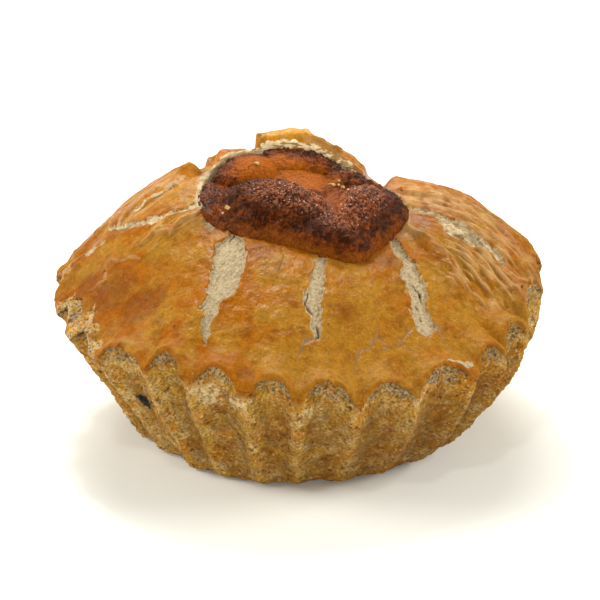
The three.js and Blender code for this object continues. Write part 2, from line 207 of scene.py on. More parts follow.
# Yellower stretches of the glaze: x, y, reach and strength
YELLOWER = [
    (10, -36, 18, 0.9), (30, -22, 14, 0.7), (8.5, -17, 4, 0.8),
    (-20, -14, 7, 0.65), (-22, 6, 6, 0.6), (0, 22, 9, 0.9),
]

# Stretches of the glaze painted paler as sheen over the fine wrinkles: x, y, reach and strength
PAINTED_SHEEN_AREAS = [
    (34, -3, 9, 0.45), (24, 10, 9, 0.65), (19, -3, 4, 0.5), (-17, -3, 5, 0.4), (-30, 8, 7, 0.3),
    (0, 21, 7, 0.2), (-33, -26, 5, 0.2),
]

# Thin lifted pastry, its colour brightened as painted light shining through it: x, y, reach and strength
PAINTED_GLOW_THROUGH = [(0, 20, 8, 0.8), (-14, 14, 6, 0.4), (-27, 3, 8, 0.22), (-24, 9, 8, 0.35), (20, 11, 8, 0.3)]

# Marks in the glaze: x, y and radius
GREY_MARKS = [(12.2, -32.4, 0.5), (17.3, -30.8, 0.6), (14.8, -33, 0.5), (23.7, -25.8, 1.2)]
DARK_DOTS = [
    (-22.3, -30.6, 0.35), (-23, -25.6, 0.25), (15.9, -13, 0.3), (4.8, -31, 0.2), (-35.6, -8.2, 0.4),
]

# The arms of the cross cut beyond the opening: depth, then x, y and width of each point
CUTS = [
    (0.4, [(-17.9, -1.8, 2), (-20.6, -2.8, 1.5), (-24.7, -2.8, 1.1), (-27.5, -2.2, 1.5), (-31.4, -0.3, 1.7)]),
    (0.4, [(-31.4, -0.3, 1.7), (-36.2, 4.4, 0.6)]),
    (0.15, [(-31, 3.6, 0.2), (-29.8, 3.9, 0.5), (-26.1, 5.2, 0.6), (-23.3, 7, 0.5), (-21.6, 8.2, 0.7)]),
    (0.6, [(20.3, 4.8, 0.7), (23, 4, 1.2), (25.6, 1.6, 2.8), (28.8, -0.4, 4.4), (31.8, -2, 3.2)]),
    (0.6, [(31.8, -2, 3.2), (35.3, -4, 1.4), (37.6, -5.4, 0.5)]),
]

# Wide smooth dents: depth, then x, y and width of each point
DENTS = [
    (1.8, [(-19, 12.8, 2), (-19.2, 17, 2.8), (-21, 30, 6)]),
    (1.2, [(-17.7, 13.8, 2.4), (-17, 17.5, 3.2)]),
    (1.9, [(-9.6, 18.6, 1.9), (-9.8, 25, 4)]),
    (2.8, [(13.4, 12, 4), (14.6, 18, 4.6), (17.2, 30, 8)]),
    (2.9, [(3, 20.8, 2.8), (6.6, 20.3, 3)]),
    (0.8, [(28, 12.5, 6), (34, 9, 8), (38, 6, 8), (42, 3, 7)]),
    (0.6, [(-23, 8.4, 5), (-28, 6.4, 7.5), (-34, 5.2, 7.5), (-39, 4.4, 5)]),
]

# Small knobs, and dips where the height is negative: x, y, radius and height
KNOBS = [
    (40.2, 1.4, 0.9, 1), (42.8, -0.4, 2, -0.8), (-21.6, 10.4, 1.2, 0.9),
    (-20.2, 11, 0.8, 1), (-14.6, 17, 1.6, 0.6), (9.2, 20.5, 2.2, 1), (-44.6, 4.6, 1.4, 0.8),
    (-41.8, 5.8, 1.2, 0.9), (-38, 7.6, 1, 0.5), (-45, -3, 1.5, 0.6),
]

# How much the raggedness widens and narrows the knobs
KNOB_RAGGEDNESS = 0.3

# Lifted folds: lift, whether the far end is torn off, then x, y and width of each point
FOLDS = [
    (1.2, True, [(-34, 5.5, 4.5), (-28, 6, 5), (-24, 8, 5), (-20.1, 11, 4)]),
    (0.9, False, [(19.5, -1.5, 2.6), (22.6, -4.8, 4), (26.2, -9.3, 4), (28.9, -16.4, 3)]),
    (1.1, True, [(7, 18.4, 0.5), (1, 20, 2.6), (-3, 20, 4), (-7.9, 18.6, 4.4)]),
]
TORN_END_REACH = 0.4
TORN_END_RAGGEDNESS = 0.8
TORN_END_BLUR = 0.5

# Long creases of the lid, of which two are steps too: x, y and width of each point
RIGHT_LAYER = [(18.5, 9.4, 0.5), (22.2, 8.8, 0.7), (27.8, 8.2, 0.8), (33.3, 7, 0.8), (37.9, 4.5, 0.5)]
LEFT_LAYER = [
    (-29.7, -7.1, 0.3), (-26.8, -6.2, 0.5), (-23.5, -7.2, 0.5), (-21.9, -5.4, 0.8), (-19.3, -5, 0.9),
]
LEFT_FOLD = [
    (-38.5, -10.3, 0.3), (-35.2, -10.4, 0.5), (-35.7, -7, 0.5), (-34.4, -6.1, 0.5), (-29, -10.2, 0.4),
]

# Edges of thin layers, raised on the left of their way: height, reach, then x, y and width of each point
STEPS = [
    (0.6, 3.5, RIGHT_LAYER),
    (0.35, 3, [(-35.2, -10.4, 1), (-35.7, -7, 1), (-34.4, -6.1, 1), (-33.1, -7, 1), (-27.9, -11, 1)]),
    (0.35, 2.5, LEFT_LAYER),
    (0.7, 3, [(0.5, 19.6, 1), (4.5, 18.9, 1), (8.5, 17, 1), (11.5, 15, 1)]),
]
STEP_RAGGEDNESS = 0.25
STEP_BLUR = 0.4

# Thin creases, painted with a highlight along their tops: height, then x, y and width of each point
CREASES = [
    (0.25, LEFT_LAYER),
    (0.2, LEFT_FOLD),
    (0.15, [(-23.8, -7.4, 0.3), (-21, -7, 0.4), (-18.4, -5, 0.4)]),
    (0.4, [(16.4, -2.4, 1.6), (18.8, -2.6, 1.5), (22.6, -4.8, 0.9), (26.2, -9.3, 0.8), (28.9, -16.4, 0.5)]),
    (0.25, RIGHT_LAYER),
    (0.2, [(0.5, 19.3, 0.6), (4.5, 18.6, 0.9), (8.5, 16.7, 0.9), (11.5, 14.7, 0.7)]),
    (0.05, [(-31.5, 3.4, 0.3), (-29.8, 3.8, 0.6), (-26.1, 5.1, 0.7), (-23.3, 6.9, 0.6), (-21.4, 8.2, 0.8)]),
    (0.15, [(-24.7, -3.4, 0.4), (-21.5, -3.6, 0.5), (-18.5, -3.2, 0.6)]),
]
CREASE_RAGGEDNESS = 0.4

# How far the baking moved the lines of cracks and creases to and fro
WANDER = 0.4

# Finely wrinkled areas: middle of the wrinkles' arcs, middle of the area, its reach, their height
WRINKLES = [
    ((14.6, -26.1), (34, -8), 14, 0.42),
    ((14.6, -26.1), (30, 6), 11, 0.36),
    ((20, -72), (-31, 7.5), 10, 0.20),
    ((20, -72), (-25, -5), 6, 0.18),
]
WRINKLE_PITCH = 0.95
WRINKLE_LENGTH = 5.5

# Heights of the lid's own lumps: its broad swells, its middling lumps and its fine fray
LID_SWELLS = 0.22
LID_LUMPS = 0.10
LID_FRAY = 0.035

# Torn places: softness of the edge, height of the crumbs in it, depth
TORN_CRACKS = (0.25, 0.15, CRACK_DEPTH)
TORN_PATCHES = (0.4, 0.16, 0.25)
TORN_ROUGH = (0.5, 0.20, 0.35)
CUT_BLUR = 0.6
CUT_CRUMBS = 0.18

# Heights of the lumps of the opening's edge, which has thin layers, and of the lid's outer edge
LIP_LAYERS = 0.12
LIP_FRAY = 0.07
RIM_LUMPS = 0.22
EDGE_LUMPS = 0.15

# Flaky back of the opening's edge
FLAKE_THICKNESS = 0.4
FLAKE_RAGGEDNESS = 0.45

# On the ridges: how far down the glaze fades out, how far down the wall takes on the lid's edge, and a
# shallow groove that sets the lid's edge off
TONGUE_FADE = 4.0
TONGUE_MERGE = 3.0
RIDGE_SHOULDER = 0.15
RIDGE_SHOULDER_WIDTH = 0.7

# Lobes of the curd: x, y, half length, half width, turn in degrees, top and foot over the rim
LOBES = [
    (-6, -3, 13, 9.8, -8, 23.6, 14.5),
    (12.2, -2.6, 8.2, 10.6, -20, 22.3, 13.5),
    (-11.2, 11.6, 7.5, 6.5, 15, 24.2, 19),
    (-2.5, 15, 12, 4.5, 0, 23.2, 19.5),
    (9, 10.5, 5.5, 6, 0, 21.4, 17.5),
]
CURD_DISH_HEIGHT = 19.7
CURD_ROUNDING = 4
CURD_SINK_AT_BACK = 0.4
CURD_SINK_AT_FRONT = 0.3
CURD_RISE_UNDER_FLAP = 0.6
CURD_OVERHANG = 0.8
CURD_BAND_HEIGHT = 2.4

# How far over the opening's edge the lobes' crests, painted with sheen and glints, begin, and over what
# height they come in
CREST_ABOVE = 4.2
CREST_FADE = 2.2

# Heights of the curd's lumps where it is pale and how much more where it is charred, then its rough skin
CURD_LUMPS = 0.08
CURD_LUMPS_MORE = 0.14
CURD_WRINKLES = 0.15
CURD_KNOBS = 0.30

# Where the curd stayed orange: x, y, half length, half width, turn in degrees and strength
ORANGE_AREAS = [(-3.2, 8.2, 13.4, 7.9, -4, 1), (6.2, -1.5, 8, 2.6, -82, 0.65)]

# Degrees from the front and spread of the lighter band along the curd's front foot
ORANGE_BAND = (15, 62)

# Crumbs lying on the tart: x, y and size; whether each lies on the curd
CRUMBS = [
    (-8.2, 8.9, 0.9, True), (-13.3, -6.5, 1, True), (-14.2, -6.9, 0.5, True),
    (5.2, 7.2, 0.7, True), (6, 6.6, 0.8, True), (7, 6.2, 0.6, True), (7.8, 5.8, 0.8, True),
    (7.1, 7, 0.5, True), (12.9, 19.6, 0.9, False), (13.9, 20.6, 0.7, False),
    (11.6, 20.2, 0.6, False), (15, 16.6, 0.7, False),
]

# Fineness of the meshes, and where their rings lie
FRONT_FLUTES = 15
COLUMNS_A_FRONT_FLUTE = 40
COLUMNS_A_BACK_FLUTE = 16
CURD_COLUMNS_A_FLUTE = 22
LID_TOP_ROWS = 107
SEAT_START = 0.93
LID_UNDER_SHARES = (0.0, 0.3, 0.6, LID_SEAT, SEAT_START, 1.0)
LIP_ROWS = 8
EDGE_ROWS_UP = (0.06, 0.25, 0.5, 0.75)
WALL_ROWS = 120
WALL_LAST_ROW = 0.003
CURD_TOP_ROWS = 155
CURD_LAST_RING = 0.012
CURD_UNDER_SHARES = (0.7, 0.45, 0.2, 0.0)

# Rough half-moons under the arches: how far below them they reach, and where they reach further
HALF_MOON = 0.5
HALF_MOON_MORE = [(-50, 24, 0.8), (60, 26, 0.8)]
HALF_MOON_DEPTH = 0.5

# Marks on the wall: degrees from the front and height, then half sizes across and up
SPECK = (-48.4, 13.9, 2.2, 1.6)
HOLES = [
    (-11.1, 23.3, 0.5, 0.5), (10.9, 20.6, 0.55, 0.55), (13.9, 20.4, 0.55, 0.55),
    (-67.1, 15.3, 0.4, 0.4), (-11.1, 4.2, 0.5, 0.5),
]
CREAMY = [
    (-23, 22.0, 3.2, 3.4), (-15, 20.5, 2.4, 2.2), (2, 19.5, 1.6, 1.6),
    (28, 20.5, 1.8, 1.4), (46, 23.5, 3.0, 1.6),
]

# The side where the lower wall is painted browner: degrees from the front and spread
BROWNER_SIDE = (38, 34)

# Pits and grains scattered over the wall: pitch, largest radius and seed
PITS = (2.0, 0.45, 13)
GRAINS = (1.1, 0.5, 14)
PIT_DEPTH = 0.35
GRAIN_HEIGHT = 0.16
HOLE_DEPTH = 0.6
FOOT_CRUMBS = 0.14

# Heights of the wall's own lumps: its broad swells, its middling lumps and its fine fray
WALL_UNEVENNESS = 0.20
WALL_LUMPS = 0.14
WALL_FRAY = 0.10

# The inside's ring halfway up, as a share of the way from the floor's edge to the lid's seat
INSIDE_BULGE = 0.62

# Light
SKY_COLOUR = (0.99, 0.975, 0.885)
SKY_STRENGTH = 0.46
LIGHT_COLOUR = (1.0, 0.99, 0.96)
LIGHTS = [
    ("key", (-60, 670, 805), 700, 10.4),
    ("glint", (-140, 600, 870), 120, 3.4),
    ("left", (-860, 60, 420), 500, 8.4),
    ("right", (860, 60, 420), 500, 8.6),
    ("low", (0, -930, 130), 600, 6.0),
    ("spark", (-150, -450, 800), 60, 0.9),
]

# Floor
FLOOR_HALF_SIDE = 3.0
FLOOR_TONES = ((0.76, 0.763, 0.72), (0.77, 0.773, 0.73))

# Camera
CAMERA_ELEVATION = 23.0
CAMERA_DISTANCE = 600.0
PIXELS_A_MM = 5.38
PICTURE_SIDE = 600
CENTRE_COLUMN = 301
CENTRE_ROW = 297
SENSOR_WIDTH = 36.0

FULL_TURN = 2 * math.pi


# General helpers
def mix(a, b, share):
    return a + (b - a) * share


def smooth(value):
    v = np.clip(value, 0, 1)
    return v * v * (3 - 2 * v)


def wrap(angle):
    return (angle + math.pi) % FULL_TURN - math.pi


def hill(angle, at, spread):
    off = wrap(angle - math.radians(at)) / math.radians(spread)
    return np.exp(-off * off)


def bumps(angle, places):
    """The sum of soft bumps round the tart: degrees from the front, spread and height of each."""
    return sum(height * hill(angle, at, spread) for at, spread, height in places)


def soft_edge(inside, blur):
    """1 well inside a shape and 0 well outside it, over a soft edge as wide as blur."""
    return smooth(inside / blur + 0.5)


def turned(x, y, oval):
    """Places as seen from an oval, in shares of its halves: x, y, half length, half width, degrees."""
    ox, oy, long, wide, turn = oval
    c, s = math.cos(math.radians(turn)), math.sin(math.radians(turn))
    return ((x - ox) * c + (y - oy) * s) / long, ((y - oy) * c - (x - ox) * s) / wide


def noise_at(points, size, seed, octaves=1):
    """Smooth noise from about -1 to 1 at points in mm, with lumps of the given size in mm."""
    scaled = points.reshape(-1, 3) / size + np.array((seed * 7.3, seed * 3.1, seed * 5.7))
    if octaves == 1:
        values = [noise.noise(Vector(p)) for p in scaled]
    else:
        values = [noise.fractal(Vector(p), 0.8, 2.0, octaves) for p in scaled]
    return 1.6 * np.array(values).reshape(points.shape[:-1])


# Forms shared by the pieces
def columns_round(front_columns, back_columns):
    """Angle of each column of a skin, its depth into the scoop and its share of the lid's arch.

    Both are 0 on a ridge; between ridges the scoop reaches 1 and the arches are unevenly high
    and wide. Flutes at the front may have more columns.
    """
    counts = []
    for flute in range(-FLUTES // 2, FLUTES // 2):
        columns = front_columns if abs(flute + 0.5) < FRONT_FLUTES / 2 else back_columns
        counts.append(flute + np.arange(columns) / columns)
    count = np.concatenate(counts)
    ridges = np.arange(-FLUTES // 2, FLUTES // 2 + 1)
    shifts = np.array([RIDGE_SHIFTS.get(int(ridge), 0.0) for ridge in ridges])
    angle = count * FULL_TURN / FLUTES + np.radians(np.interp(count, ridges, shifts))
    s = np.abs(np.sin(math.pi * count))
    scoop = np.hypot(s, SCOOP_ROUNDING) - SCOOP_ROUNDING * (1 - s)
    flute = np.floor(count).astype(int) + FLUTES // 2
    chance = np.random.default_rng(ARCH_SEED)
    half_width = ARCH_HALF_WIDTH * chance.uniform(*ARCH_WIDTHS, FLUTES)[flute]
    half_width = half_width * (1 + bumps(angle, ARCH_WIDER))
    height = chance.uniform(*ARCH_HEIGHTS, FLUTES)[flute]
    roundness = chance.uniform(*ARCH_ROUNDNESSES, FLUTES)[flute]
    middle = chance.uniform(*ARCH_MIDDLES, FLUTES)[flute]
    across = (count % 1 - middle) / half_width
    arch = height * np.clip(1 - across * across, 0, 1) ** roundness
    return angle, scoop, arch


def arch_rise(angle):
    return ARCH_RISE * (1 + bumps(angle, ARCH_HIGHER))


def arch_lift(angle, arch, share):
    """How far the arches lift the lid, ragged only at the edge, where share is 1."""
    ragged = noise_at(circle(angle, RIM_RADIUS, 0.0), ARCH_TATTERS, 19, 3)
    return arch_rise(angle) * arch * (share + ARCH_RAGGEDNESS * ragged * share**ARCH_TATTERS_FADE)


def rim_height(angle):
    return RIM_HEIGHT + bumps(angle, RIM_WAVES)


def rim_radius(angle):
    return RIM_RADIUS + RIM_WIDER_AT_SIDES * np.sin(angle) ** 2 - RIM_LEAN_LEFT * np.sin(angle)


def wall_radius(angle, scoop, share):
    power = WALL_ROUNDNESS + WALL_LEAN * np.sin(angle)
    rim = rim_radius(angle)
    base = BASE_RADIUS - BASE_LEAN_LEFT * np.sin(angle) + BASE_LEAN_FRONT * np.cos(angle)
    depth = mix(FLUTE_DEPTH_AT_BASE, FLUTE_DEPTH_AT_RIM, share)
    return rim - (rim - base) * np.clip(1 - share, 0, 1) ** power - depth * scoop


def opening_value(angle, column):
    """A smooth closed curve through one column of the opening's points."""
    points = np.array(OPENING_EDGE)
    count = len(points)
    starts = np.radians(points[:, 0])
    first = (np.searchsorted(starts, wrap(angle), side="right") - 1) % count
    span = wrap(starts[(first + 1) % count] - starts[first])
    u = ((wrap(angle) - starts[first]) % FULL_TURN) / span
    a, b, c, d = [points[(first + step) % count, column] for step in (-1, 0, 1, 2)]
    bend = 2 * a - 5 * b + 4 * c - d + (3 * b - 3 * c + d - a) * u
    return b + 0.5 * u * (c - a + bend * u)


def flap_lift(angle, share):
    degrees = np.degrees(wrap(angle))
    right_end = smooth((degrees - FLAP_TO) / FLAP_FADE)
    left_end = smooth((FLAP_FROM - degrees) / FLAP_TEAR)
    curl = mix(FLAP_EDGE, 1, smooth(share / FLAP_CREST))
    return FLAP_LIFT * np.where(degrees > 0, right_end, left_end) * curl * (1 - share) ** 2


def backness(angle):
    return smooth((np.abs(wrap(angle)) / math.pi - BACK_FROM) / BACK_FADE)


def lip_slant(angle):
    return mix(LIP_SLANT_AT_FRONT, LIP_SLANT_AT_BACK, backness(angle))


def opening_edge(angle, inset):
    radius = opening_value(angle, 1) - inset
    x = OPENING_CENTRE[0] + radius * np.sin(angle)
    y = OPENING_CENTRE[1] - radius * np.cos(angle)
    return x, y, RIM_HEIGHT + opening_value(angle, 2)


def near_path(path, x, y):
    """Distance of each place to a path, and the path's width and signed side where it is nearest."""
    best = np.full(np.shape(x), 1e9)
    width = np.ones(np.shape(x))
    side = np.ones(np.shape(x))
    for (ax, ay, aw), (bx, by, bw) in zip(path, path[1:]):
        length = math.hypot(bx - ax, by - ay)
        u = np.clip(((x - ax) * (bx - ax) + (y - ay) * (by - ay)) / length**2, 0, 1)
        distance = np.hypot(x - mix(ax, bx, u), y - mix(ay, by, u))
        closer = distance < best
        best = np.where(closer, distance, best)
        width = np.where(closer, mix(aw, bw, u), width)
        side = np.where(closer, np.sign((bx - ax) * (y - ay) - (by - ay) * (x - ax)), side)
    return best, width, side


def lid_plain(angle, share, radius, inset):
    """The lid's plain form, from the opening's edge (share 0) to the rim (share 1)."""
    ox, oy, oz = opening_edge(angle, inset)
    edge = rim_height(angle)
    power = 1 + bumps(angle, LID_FULLNESS)
    x = mix(ox, radius * np.sin(angle), share)
    y = mix(oy, -radius * np.cos(angle), share)
    z = mix(oz, edge, share**power) + bumps(angle, RIM_UPTURNS) * share**UPTURN_FADE
    return x, y, z


def lid_under(angle, arch, share, drop, lift=None):
    seat = np.clip((share - LID_SEAT) / (1 - LID_SEAT), 0, 1)
    edge = rim_radius(angle) - FLUTE_DEPTH_AT_RIM * LID_EDGE_FOLLOWS * arch
    radius = mix(RIM_RADIUS - FLUTE_DEPTH_AT_RIM, edge, seat)
    x, y, z = lid_plain(angle, share, radius, lip_slant(angle))
    lip = mix(LID_EDGE_THICKNESS, LIP_OVER_ARCH, arch)
    thickness = mix(LID_THICKNESS, lip, share**4)
    if lift is None:
        lift = flap_lift(angle, share)
    return np.stack([x, y, z + arch_lift(angle, arch, seat) + lift - thickness - drop], -1)


def circle(angle, radius, z):
    return np.stack([radius * np.sin(angle), -radius * np.cos(angle), z + 0 * angle], -1)


def add_object(name, data):
    added = bpy.data.objects.new(name, data)
    bpy.context.scene.collection.objects.link(added)
    return added


def push_out(grid, amount, closed_rows=False):
    """Moves each point of a grid along its own outward normal."""
    round_way = np.roll(grid, -1, 1) - np.roll(grid, 1, 1)
    if closed_rows:
        row_way = np.roll(grid, -1, 0) - np.roll(grid, 1, 0)
    else:
        row_way = np.gradient(grid, axis=0)
    normal = np.cross(round_way, row_way)
    normal /= np.maximum(np.linalg.norm(normal, axis=-1, keepdims=True), 1e-9)
    return grid + normal * amount[..., None]


def skin_object(name, grid, attributes, first_cap=None, last_cap=None):
    """A closed mesh over a grid of rings; with no caps the last ring joins the first."""
    rows, columns = grid.shape[:2]
    points = grid.reshape(-1, 3)
    bands = rows if first_cap is None else rows - 1
    low = np.arange(bands)[:, None] * columns
    high = ((np.arange(bands)[:, None] + 1) % rows) * columns
    here = np.arange(columns)[None, :]
    after = (here + 1) % columns
    quads = np.stack([low + here, low + after, high + after, high + here], -1).reshape(-1, 4)
    faces = quads.tolist()
    if first_cap is not None:
        points = np.concatenate([points, [first_cap, last_cap]])
        bottom = rows * columns
        last = (rows - 1) * columns
        for i in range(columns):
            j = (i + 1) % columns
            faces.append([bottom, j, i])
            faces.append([bottom + 1, last + i, last + j])
    mesh = bpy.data.meshes.new(name)
    mesh.from_pydata((points * MM).tolist(), [], faces)
    mesh.polygons.foreach_set("use_smooth", [True] * len(mesh.polygons))
    for key, values in attributes.items():
        layer = mesh.attributes.new(key, "FLOAT", "POINT")
        flat = np.zeros(len(points), dtype=np.float32)
        flat[: rows * columns] = values.reshape(-1)
        layer.data.foreach_set("value", flat)
    mesh.update()
    return add_object(name, mesh)


# Lid
def inside_paths(paths, x, y, wobble):
    """How far inside the nearest of some drawn-out shapes each place lies, in mm; negative is outside."""
    inside = np.full(np.shape(x), -1e9)
    for path in paths:
        distance, width, _ = near_path(path, x, y)
        inside = np.maximum(inside, 0.5 * width + wobble * np.minimum(1, width) - distance)
    return inside


def inside_patches(patches, x, y, wobble):
    inside = np.full(np.shape(x), -1e9)
    for px, py, radius in patches:
        inside = np.maximum(inside, radius + wobble - np.hypot(x - px, y - py))
    return inside


def strongest(areas, x, y):
    """The strongest of some soft round areas, each given by x, y, reach and strength."""
    best = np.zeros(np.shape(x))
    for px, py, reach, strength in areas:
        away = np.hypot(x - px, y - py) / reach
        best = np.maximum(best, strength * np.exp(-(away**2)))
    return best


def dents_depth(x, y):
    depth = np.zeros(np.shape(x))
    for deep, path in DENTS:
        distance, width, _ = near_path(path, x, y)
        depth = np.maximum(depth, deep * smooth(1.3 - 2 * distance / width))
    return depth


def knobs_height(x, y, ragged):
    height = np.zeros(np.shape(x))
    for px, py, radius, high in KNOBS:
        away = np.hypot(x - px, y - py) / (radius * (1 + KNOB_RAGGEDNESS * ragged))
        height = height + high * np.exp(-(away**2))
    return height


def past_end(path, x, y):
    """How far each place lies past the last point of a path, along its last stretch."""
    (ax, ay, _), (bx, by, _) = path[-2:]
    length = math.hypot(bx - ax, by - ay)
    return ((x - bx) * (bx - ax) + (y - by) * (by - ay)) / length


def folds_height(x, y, ragged):
    off = np.zeros(np.shape(x))
    for lift, torn, path in FOLDS:
        distance, width, _ = near_path(path, x, y)
        height = lift * smooth(1.3 - 2 * distance / width)
        if torn:
            to_end = TORN_END_REACH - past_end(path, x, y) + TORN_END_RAGGEDNESS * ragged
            height = height * smooth(to_end / TORN_END_BLUR)
        off = off + height
    return off


def steps_height(x, y, ragged):
    off = np.zeros(np.shape(x))
    for height, reach, path in STEPS:
        distance, _, side = near_path(path, x, y)
        ends = smooth(1 - past_end(path, x, y)) * smooth(1 - past_end(path[::-1], x, y))
        signed = distance * side + STEP_RAGGEDNESS * ragged
        off = off + height * soft_edge(signed, STEP_BLUR) * smooth(1 - distance / reach) * ends
    return off


def creases_height(x, y, ragged):
    """Height of the thin creases, and the painted highlight along their tops."""
    off = np.zeros(np.shape(x))
    painted_highlight = np.zeros(np.shape(x))
    for height, path in CREASES:
        distance, width, _ = near_path(path, x, y)
        bead = np.exp(-((2 * distance / (width * (1 + CREASE_RAGGEDNESS * ragged))) ** 2))
        off = off + height * bead
        painted_highlight = np.maximum(painted_highlight, bead)
    return off, painted_highlight


def wrinkles_height(x, y):
    """Height of the fine wrinkles, which run in arcs, and how much of a crest each place is."""
    off = np.zeros(np.shape(x))
    crest = np.zeros(np.shape(x))
    for number, ((ax, ay), (mx, my), reach, height) in enumerate(WRINKLES):
        radius = np.hypot(x - ax, y - ay)
        along = np.arctan2(y - ay, x - ax) * radius.mean()
        place = np.stack([radius / WRINKLE_PITCH, along / WRINKLE_LENGTH, 0 * x + number], -1)
        share = smooth(1.5 * (1 - np.hypot(x - mx, y - my) / reach))
        wrinkle = noise_at(place, 1.0, 31, 2)
        off = off + height * share * wrinkle
        crest = np.maximum(crest, share * smooth((wrinkle - 0.05) / 0.5))
    return off, crest


def lid_top(angle, arch, share):
    """The lid's plain top as rings of points, from share 1 at the rim to 0 at the opening."""
    pleat = mix(LID_PLEAT, LID_EDGE_FOLLOWS * arch, share**LID_PLEAT_FADE)
    x, y, z = lid_plain(angle, share, rim_radius(angle) - FLUTE_DEPTH_AT_RIM * pleat, 0.0)
    edge = np.clip((share - LID_EDGE_FROM) / (1 - LID_EDGE_FROM), 0, 1)
    rounding = LID_EDGE_ROUND * (1 - np.sqrt(1 - edge * edge))
    z = z + arch_lift(angle, arch, share**ARCH_FADE) + flap_lift(angle, share) - rounding
    return np.stack([x, y, z], -1)


def between_rings(first, last, shares):
    """Rings that go from one ring to another, at the given shares of the way."""
    return first + (last - first) * np.asarray(shares)[:, None, None]


def lid_surface(grid, share):
    """What the baking did to the lid's top: how far each place stands proud, and what it shows."""
    x, y = grid[..., 0], grid[..., 1]
    ragged = noise_at(grid, 2.4, 1, 2)
    frayed = noise_at(grid, 0.8, 18, 2)
    crumb = noise_at(grid, 0.6, 2, 2)
    wobble = 0.40 * ragged + 0.08 * frayed
    wx = x + WANDER * noise_at(grid, 2.8, 51, 2)
    wy = y + WANDER * noise_at(grid, 2.8, 52, 2)
    cracks = inside_paths(CRACKS, wx, wy, wobble)
    narrow = [[(px, py, FINE_CRACK_WIDTH * width) for px, py, width in path] for path in FINE_CRACKS]
    fine = inside_paths(narrow, wx, wy, 0.5 * wobble)
    fissure = soft_edge(inside_paths(FISSURES, wx, wy, wobble), 0.15)
    patches = inside_patches(BARE_PATCHES, wx, wy, 1.2 * wobble)
    rough = inside_patches(ROUGH_PATCHES, wx, wy, wobble)
    crease, painted_highlight = creases_height(wx, wy, ragged)
    wrinkle, crest = wrinkles_height(x, y)
    dents = dents_depth(x, y)
    off = LID_SWELLS * noise_at(grid, 8.0, 3) + LID_LUMPS * noise_at(grid, 2.8, 4, 2) + LID_FRAY * frayed
    off = off + folds_height(x, y, ragged) + steps_height(wx, wy, ragged) + crease + wrinkle - dents
    off = off + 0.06 * np.exp(-(((cracks + 0.3) / 0.25) ** 2))
    off = off - FINE_CRACK_DEPTH * soft_edge(fine, 0.2)
    for inside, torn in ((cracks, TORN_CRACKS), (patches, TORN_PATCHES), (rough, TORN_ROUGH)):
        blur, lumps, depth = torn
        off = off + (lumps * crumb - depth) * soft_edge(inside, blur)
    raw = np.maximum(cracks, patches)
    cut = np.zeros(np.shape(x))
    for depth, path in CUTS:
        within = inside_paths([path], wx, wy, 1.1 * wobble)
        off = off + (CUT_CRUMBS * crumb - depth) * soft_edge(within, CUT_BLUR)
        raw = np.maximum(raw, within)
        cut = np.maximum(cut, soft_edge(within, CUT_BLUR))
    off = off - FISSURE_DEPTH * fissure
    bare_lip = BARE_LIP_LEAST + bumps(np.arctan2(x, -y), BARE_LIP)
    raw = np.maximum(raw, bare_lip * (1 + 0.5 * ragged) - share * 28)
    near_rim = smooth((share - 0.97) / 0.03)
    raw = mix(raw, -1.0, near_rim * (raw > -1.0) * (rough < 0))
    fade = smooth((1 - share) / 0.08) * mix(0.35, 1.0, smooth(share / 0.05))
    fade = np.maximum(fade, smooth(dents) * smooth((1 - share) / 0.08))
    dots = inside_patches(DARK_DOTS, x, y, 0.15 * frayed)
    shown = {
        "raw": raw,
        "rough": rough,
        "fine": soft_edge(fine, 0.25),
        "fissure": np.maximum(fissure, 0.8 * soft_edge(dots, 0.2)),
        "cut": cut,
        "painted_highlight": painted_highlight,
        "crest": crest,
        "browned": smooth(0.3 * inside_patches(BROWNED, x, y, wobble) + 0.5),
        "yellow": strongest(YELLOWER, x, y),
        # Painted sheen over the wrinkled stretches, frayed by noise
        "pale": strongest(PAINTED_SHEEN_AREAS, x, y) * smooth(0.6 + 0.6 * ragged),
        "painted_glow": strongest(PAINTED_GLOW_THROUGH, x, y),
        "grey": soft_edge(inside_patches(GREY_MARKS, x, y, 0.5 * wobble), 0.4),
    }
    return off * fade + knobs_height(x, y, ragged), shown


def spot_inside(grid, degrees, height, across, up):
    """How far inside a spot on the wall each place lies, as a share of the spot's half size."""
    angle = math.radians(degrees)
    side = grid[..., 0] * math.cos(angle) + grid[..., 1] * math.sin(angle)
    front = grid[..., 0] * math.sin(angle) - grid[..., 1] * math.cos(angle) > 0
    return np.where(front, 1 - np.hypot(side / across, (grid[..., 2] - height) / up), -1.0)


def holes_inside(grid, ragged):
    spots = [spot_inside(grid, *hole) for hole in HOLES]
    return smooth(2 * (np.maximum.reduce(spots) + 0.3 * ragged))


